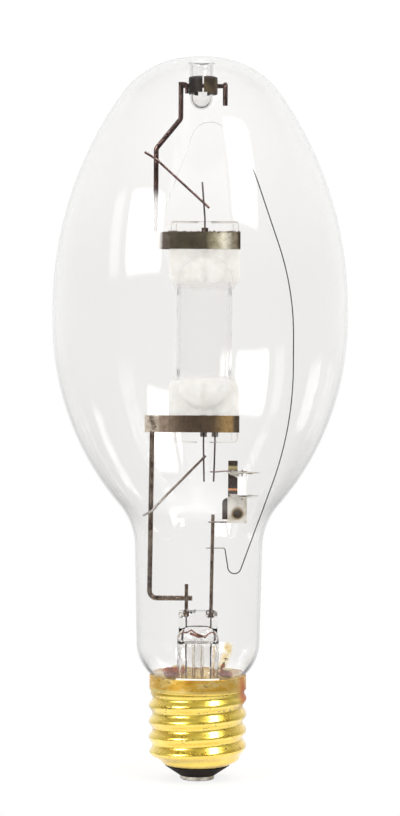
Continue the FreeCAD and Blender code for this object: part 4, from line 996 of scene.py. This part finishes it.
def tornTab(mesh, tab, middleY):
    # A thin torn tongue of sheet that narrows to its end.
    t = tornTabs
    source = random.Random(tab["seed"])
    rows = []
    for step in range(t["steps"] + 1):
        share = step / t["steps"]
        half = tab["width"] / 2 * (1 - share) ** t["narrowing"] + t["tipHalf"]
        ripple = source.uniform(-t["ripple"], t["ripple"])
        row = []
        for column in range(t["across"] + 1):
            side = (2 * column / t["across"] - 1) * half
            fold = source.uniform(-t["fold"], t["fold"])
            level = tab["level"] + side * math.sin(tab["tilt"]) + ripple * (1 - share) + fold
            y = middleY + side * math.cos(tab["tilt"])
            row.append(newPoint(mesh, (tab["x"] + tab["length"] * share, y, level)))
        rows.append(row)
    # These faces have no normals yet, so both sides of the sheet stay in one place.
    bmesh.ops.solidify(mesh, geom=joinRows(mesh, rows), thickness=t["thickness"] * mm)


def makeTornTabs():
    low, high = nodeBox("resistor_upper_lead")
    mesh = bmesh.new()
    for tab in tornTabs["tabs"]:
        tornTab(mesh, tab, (low[1] + high[1]) / 2)
    steel = wornMetal("torn_tab_steel", 0.4, color=(0.88, 0.86, 0.82), stain=(0.45, 0.4, 0.33),
                      grain=600.0, stainScale=400.0, metallic=0.3)
    addPiece("torn_tabs", mesh, steel)


crumbInputs = ("startX", "startY", "startZ", "endX", "endY", "endZ", "size", "spread")
crumbShape = {"divisions": 2, "least": (0.3, 0.3, 0.3), "most": (1.5, 1.0, 1.1)}


def crumbTree(material, count, seed):
    # Crumbs strewn along a line: its ends, the size of a crumb and the spread are inputs.
    tree, given, result = geometryTree("crumbs", crumbInputs)
    size = {name: product(given.outputs[name], mm) for name in crumbInputs}
    line = addNode(tree, "GeometryNodeMeshLine", mode="END_POINTS")
    setInputs(line, Count=count,
              Start_Location=combined(size["startX"], size["startY"], size["startZ"]),
              Offset=combined(size["endX"], size["endY"], size["endZ"]))
    strewn = addNode(tree, "FunctionNodeRandomValue", data_type="FLOAT_VECTOR")
    less = product(size["spread"], -1.0)
    feed(strewn.inputs[0], combined(less, less, less))
    feed(strewn.inputs[1], combined(size["spread"], size["spread"], size["spread"]))
    setInputs(strewn, Seed=seed)
    moved = addNode(tree, "GeometryNodeSetPosition")
    setInputs(moved, Geometry=line.outputs[0], Offset=strewn.outputs[0])
    crumb = addNode(tree, "GeometryNodeMeshIcoSphere")
    setInputs(crumb, Subdivisions=crumbShape["divisions"], Radius=size["size"])
    stretch = addNode(tree, "FunctionNodeRandomValue", data_type="FLOAT_VECTOR")
    feed(stretch.inputs[0], crumbShape["least"])
    feed(stretch.inputs[1], crumbShape["most"])
    setInputs(stretch, Seed=seed + 1)
    placed = addNode(tree, "GeometryNodeInstanceOnPoints")
    setInputs(placed, Points=moved.outputs[0], Instance=crumb.outputs["Mesh"], Scale=stretch.outputs[0])
    real = nodeAfter("GeometryNodeRealizeInstances", placed.outputs[0])
    paintedResult(real.outputs[0], material, result)
    return tree


# Crumbs on the upper strap's edge, round the weld of the lower strap's lug and by the stain
crumbs = {
    "strap_crumbs": {"crust": "soot", "count": 34, "seed": 61, "size": 0.42, "spread": 0.2},
    "weld_spatter": {"crust": "weld", "count": 26, "seed": 67, "size": 0.55, "spread": 0.9},
    "black_grains": {"crust": "soot", "count": 9, "seed": 71, "size": 0.42, "spread": 0.7},
}


def crumbLines():
    # The two ends of each line of crumbs.
    strapLow, strapHigh = nodeBox("upper_strap")
    lugLow, lugHigh = nodeBox("lower_strap")
    edge = (strapLow[1] + 0.1, strapHigh[2] + 0.02)
    return {
        "strap_crumbs": ((-12.5, *edge), (15.5, *edge)),
        "weld_spatter": ((-18.8, -0.9, lugLow[2] + 0.6), (-19.2, -0.9, lugHigh[2] + 0.2)),
        "black_grains": ((10.4, 13.6, 43.0), (11.6, 15.8, 46.2)),
    }


def makeCrumbs():
    crusts = {
        "soot": mattPaint("strap_crust", (0.05, 0.035, 0.025), (0.2, 0.15, 0.11), 700.0, 0.6),
        "weld": mattPaint("weld_crust", (0.09, 0.05, 0.03), (0.4, 0.32, 0.25), 700.0, 0.5),
    }
    for name, (start, end) in crumbLines().items():
        group = crumbs[name]
        sizes = dict(zip(crumbInputs, (*start, *end, group["size"], group["spread"])))
        material = crusts[group["crust"]]
        mesh = treeToMesh(name, crumbTree(material, group["count"], group["seed"]), sizes)
        addPiece(name, mesh, material)


makePressRidges()
makeCementLumps()
makePaintedRimHighlight()
makeStain()
makeStemBeads()
makeBurntLine()
makeTornTabs()
makeCrumbs()
print("small parts made")


# Light, floor and camera

# What reflections see: levels of light, and the elevations and azimuths in degrees where they change
studio = {
    "room": 0.06,
    "backdrop": 0.94,
    "lowBackdrop": 0.74,
    "backdropRise": (-9.0, 3.0),
    "backdropSides": (70.0, 165.0),
    "ceiling": 0.14,
    "ceilingRise": (12.0, 75.0),
    "table": 0.05,
    "tableEdge": (-32.0, -9.0),
    "plainLight": 0.95,
    "highBackground": 1.12,
    "highRise": (3.0, 8.5),
}

# Bright panels that only reflections see. Each lies square to the direction given by its azimuth
# (0 towards the camera, 90 towards +X) and elevation in degrees; its edges are tangents of the angle
# from that direction, its sides lean and its upper and lower edges slope
panels = (
    {"azimuth": -48, "elevation": 23, "edges": (-0.235, 0.25, -0.185, 0.2),
     "lean": 0.18, "slope": -0.075, "brightness": 11.5},
    {"azimuth": -48, "elevation": 23, "edges": (-0.56, -0.37, -0.2, 0.25),
     "lean": 0.18, "slope": -0.075, "brightness": 1.2},
    {"azimuth": 42, "elevation": 42, "edges": (-0.135, 0.192, -0.262, 0.335),
     "lean": -0.31, "slope": 0.26, "brightness": 11.5},
)
panelSoftness = {"sides": 0.045, "ends": 0.06}

# Lamps in the direction of the bright panels and the point that they shine on, in metres and watts
softboxes = {
    "left_softbox": {"azimuth": -48, "elevation": 22, "distance": 1.2, "size": (0.6, 0.5), "watts": 5.0},
    "right_softbox": {"azimuth": 42, "elevation": 42, "distance": 1.2, "size": (0.5, 0.7), "watts": 5.0},
}
softboxAim = Vector((0, 0, 0.15))

floorSizes = {
    "radius": 120.0,
    "fadeStart": 40.0,
    "fadeEnd": 110.0,
    "drop": 0.02,
    "faintness": 0.8,
}

# The camera's place and lens in millimetres and its roll in degrees
view = {
    "distance": 850.0,
    "x": 0.2,
    "level": 149.4,
    "lens": 93.0,
    "sensor": 36.0,
    "roll": -0.37,
}


def toward(azimuth, elevation):
    # The direction at two angles in degrees.
    turn = math.radians(azimuth)
    lift = math.radians(elevation)
    return Vector((math.sin(turn) * math.cos(lift), -math.cos(turn) * math.cos(lift), math.sin(lift)))


def along(direction, axis):
    # How far the direction goes along the axis.
    return nodeAfter("ShaderNodeVectorMath", direction, axis, operation="DOT_PRODUCT").outputs["Value"]


def window(factor, low, high, edge):
    # 1 between low and high, with soft edges.
    rising = span(factor, low - edge, low + edge)
    falling = span(factor, high - edge, high + edge, 1.0, 0.0)
    return product(rising, falling)


def panelMask(direction, panel):
    azimuth, elevation = panel["azimuth"], panel["elevation"]
    ahead = along(direction, toward(azimuth, elevation))
    aside = mathNode("DIVIDE", along(direction, toward(azimuth + 90, 0)), ahead)
    above = mathNode("DIVIDE", along(direction, toward(azimuth, elevation + 90)), ahead)
    across = mathNode("MULTIPLY_ADD", above, panel["lean"], aside)
    height = mathNode("MULTIPLY_ADD", aside, panel["slope"], above)
    left, right, low, high = panel["edges"]
    return product(window(across, left, right, panelSoftness["sides"]),
                   window(height, low, high, panelSoftness["ends"]),
                   mathNode("GREATER_THAN", ahead, 0.1))


def makeWorld():
    s = studio
    world = bpy.data.worlds.new("studio")
    bpy.context.scene.world = world
    world.use_nodes = True
    world.cycles.sampling_method = "NONE"
    tree = world.node_tree
    tree.nodes.clear()
    direction = addNode(tree, "ShaderNodeTexCoord").outputs["Generated"]
    x, y, z = separated(direction)
    azimuth = mathNode("DEGREES", mathNode("ARCTAN2", x, product(y, -1.0)))
    elevation = mathNode("DEGREES", mathNode("ARCSINE", z))
    # The backdrop stands behind the lamp, above a dark table and below a faint ceiling.
    backdrop = span(elevation, *s["backdropRise"], s["lowBackdrop"], s["backdrop"])
    share = span(mathNode("ABSOLUTE", azimuth), *s["backdropSides"])
    tone = mathNode("MULTIPLY_ADD", share, backdrop, s["room"])
    tone = mathNode("MAXIMUM", tone, span(elevation, *s["ceilingRise"], 0.0, s["ceiling"]))
    tone = mathNode("MAXIMUM", product(tone, span(elevation, *s["tableEdge"])), s["table"])
    for panel in panels:
        bright = product(panelMask(direction, panel), panel["brightness"])
        tone = mathNode("MAXIMUM", tone, bright)
    path = addNode(tree, "ShaderNodeLightPath")
    mirrored = mathNode("GREATER_THAN", path.outputs["Glossy Depth"], 0.5)
    scattered = mathNode("GREATER_THAN", path.outputs["Diffuse Depth"], 0.5)
    # The backdrop is a little overexposed towards the top, which only shows through the glass.
    straight = span(elevation, *s["highRise"], 1.0, s["highBackground"])
    seen = mixColor(mirrored, straight, tone)
    seen = mixColor(scattered, seen, (s["plainLight"],) * 3)
    background = setInputs(addNode(tree, "ShaderNodeBackground"), Color=seen)
    nodeAfter("ShaderNodeOutputWorld", background.outputs[0])


def addSoftbox(name, azimuth, elevation, distance, size, watts):
    # A soft lamp; its mirror image is the panel's, so reflections don't see it.
    lamp = bpy.data.lights.new(name, "AREA")
    lamp.shape = "RECTANGLE"
    lamp.size, lamp.size_y = size
    lamp.energy = watts
    holder = bpy.data.objects.new(name, lamp)
    bpy.context.scene.collection.objects.link(holder)
    offset = toward(azimuth, elevation) * distance
    holder.location = softboxAim + offset
    holder.rotation_euler = (-offset).to_track_quat("-Z", "Y").to_euler()
    holder.visible_camera = False
    holder.visible_glossy = False
    holder.visible_transmission = False


def makeFloor():
    # A pale round floor that fades into the background, so that only the shadow shows.
    f = floorSizes
    mesh = bmesh.new()
    bmesh.ops.create_circle(mesh, cap_ends=True, segments=96, radius=f["radius"] * mm)
    bmesh.ops.translate(mesh, verts=mesh.verts, vec=(0, 0, -f["drop"] * mm))
    floor = meshObject("floor", mesh, smooth=False)
    material, tree = newMaterial("pale_floor")
    matt = setInputs(addNode(tree, "ShaderNodeBsdfDiffuse"), Color=(0.97, 0.97, 0.97))
    clear = addNode(tree, "ShaderNodeBsdfTransparent")
    away = nodeAfter("ShaderNodeVectorMath", objectCoordinates(tree), operation="LENGTH")
    fade = band(away.outputs["Value"], (f["fadeStart"], f["fadeEnd"]))
    straight = addNode(tree, "ShaderNodeLightPath").outputs["Is Camera Ray"]
    faint = product(straight, f["faintness"])
    shader = mixShader(mathNode("MAXIMUM", fade, faint), matt, clear)
    floor.data.materials.append(finishMaterial(material, shader))


def makeCamera():
    data = bpy.data.cameras.new("camera")
    data.sensor_fit = "VERTICAL"
    data.sensor_height = view["sensor"]
    data.lens = view["lens"]
    camera = bpy.data.objects.new("camera", data)
    bpy.context.scene.collection.objects.link(camera)
    camera.location = (view["x"] * mm, -view["distance"] * mm, view["level"] * mm)
    camera.rotation_euler = (math.pi / 2, math.radians(view["roll"]), 0)
    bpy.context.scene.camera = camera


makeWorld()
for name, softbox in softboxes.items():
    addSoftbox(name, **softbox)
makeFloor()
makeCamera()
bpy.context.scene.view_settings.view_transform = "Standard"
print("studio made")
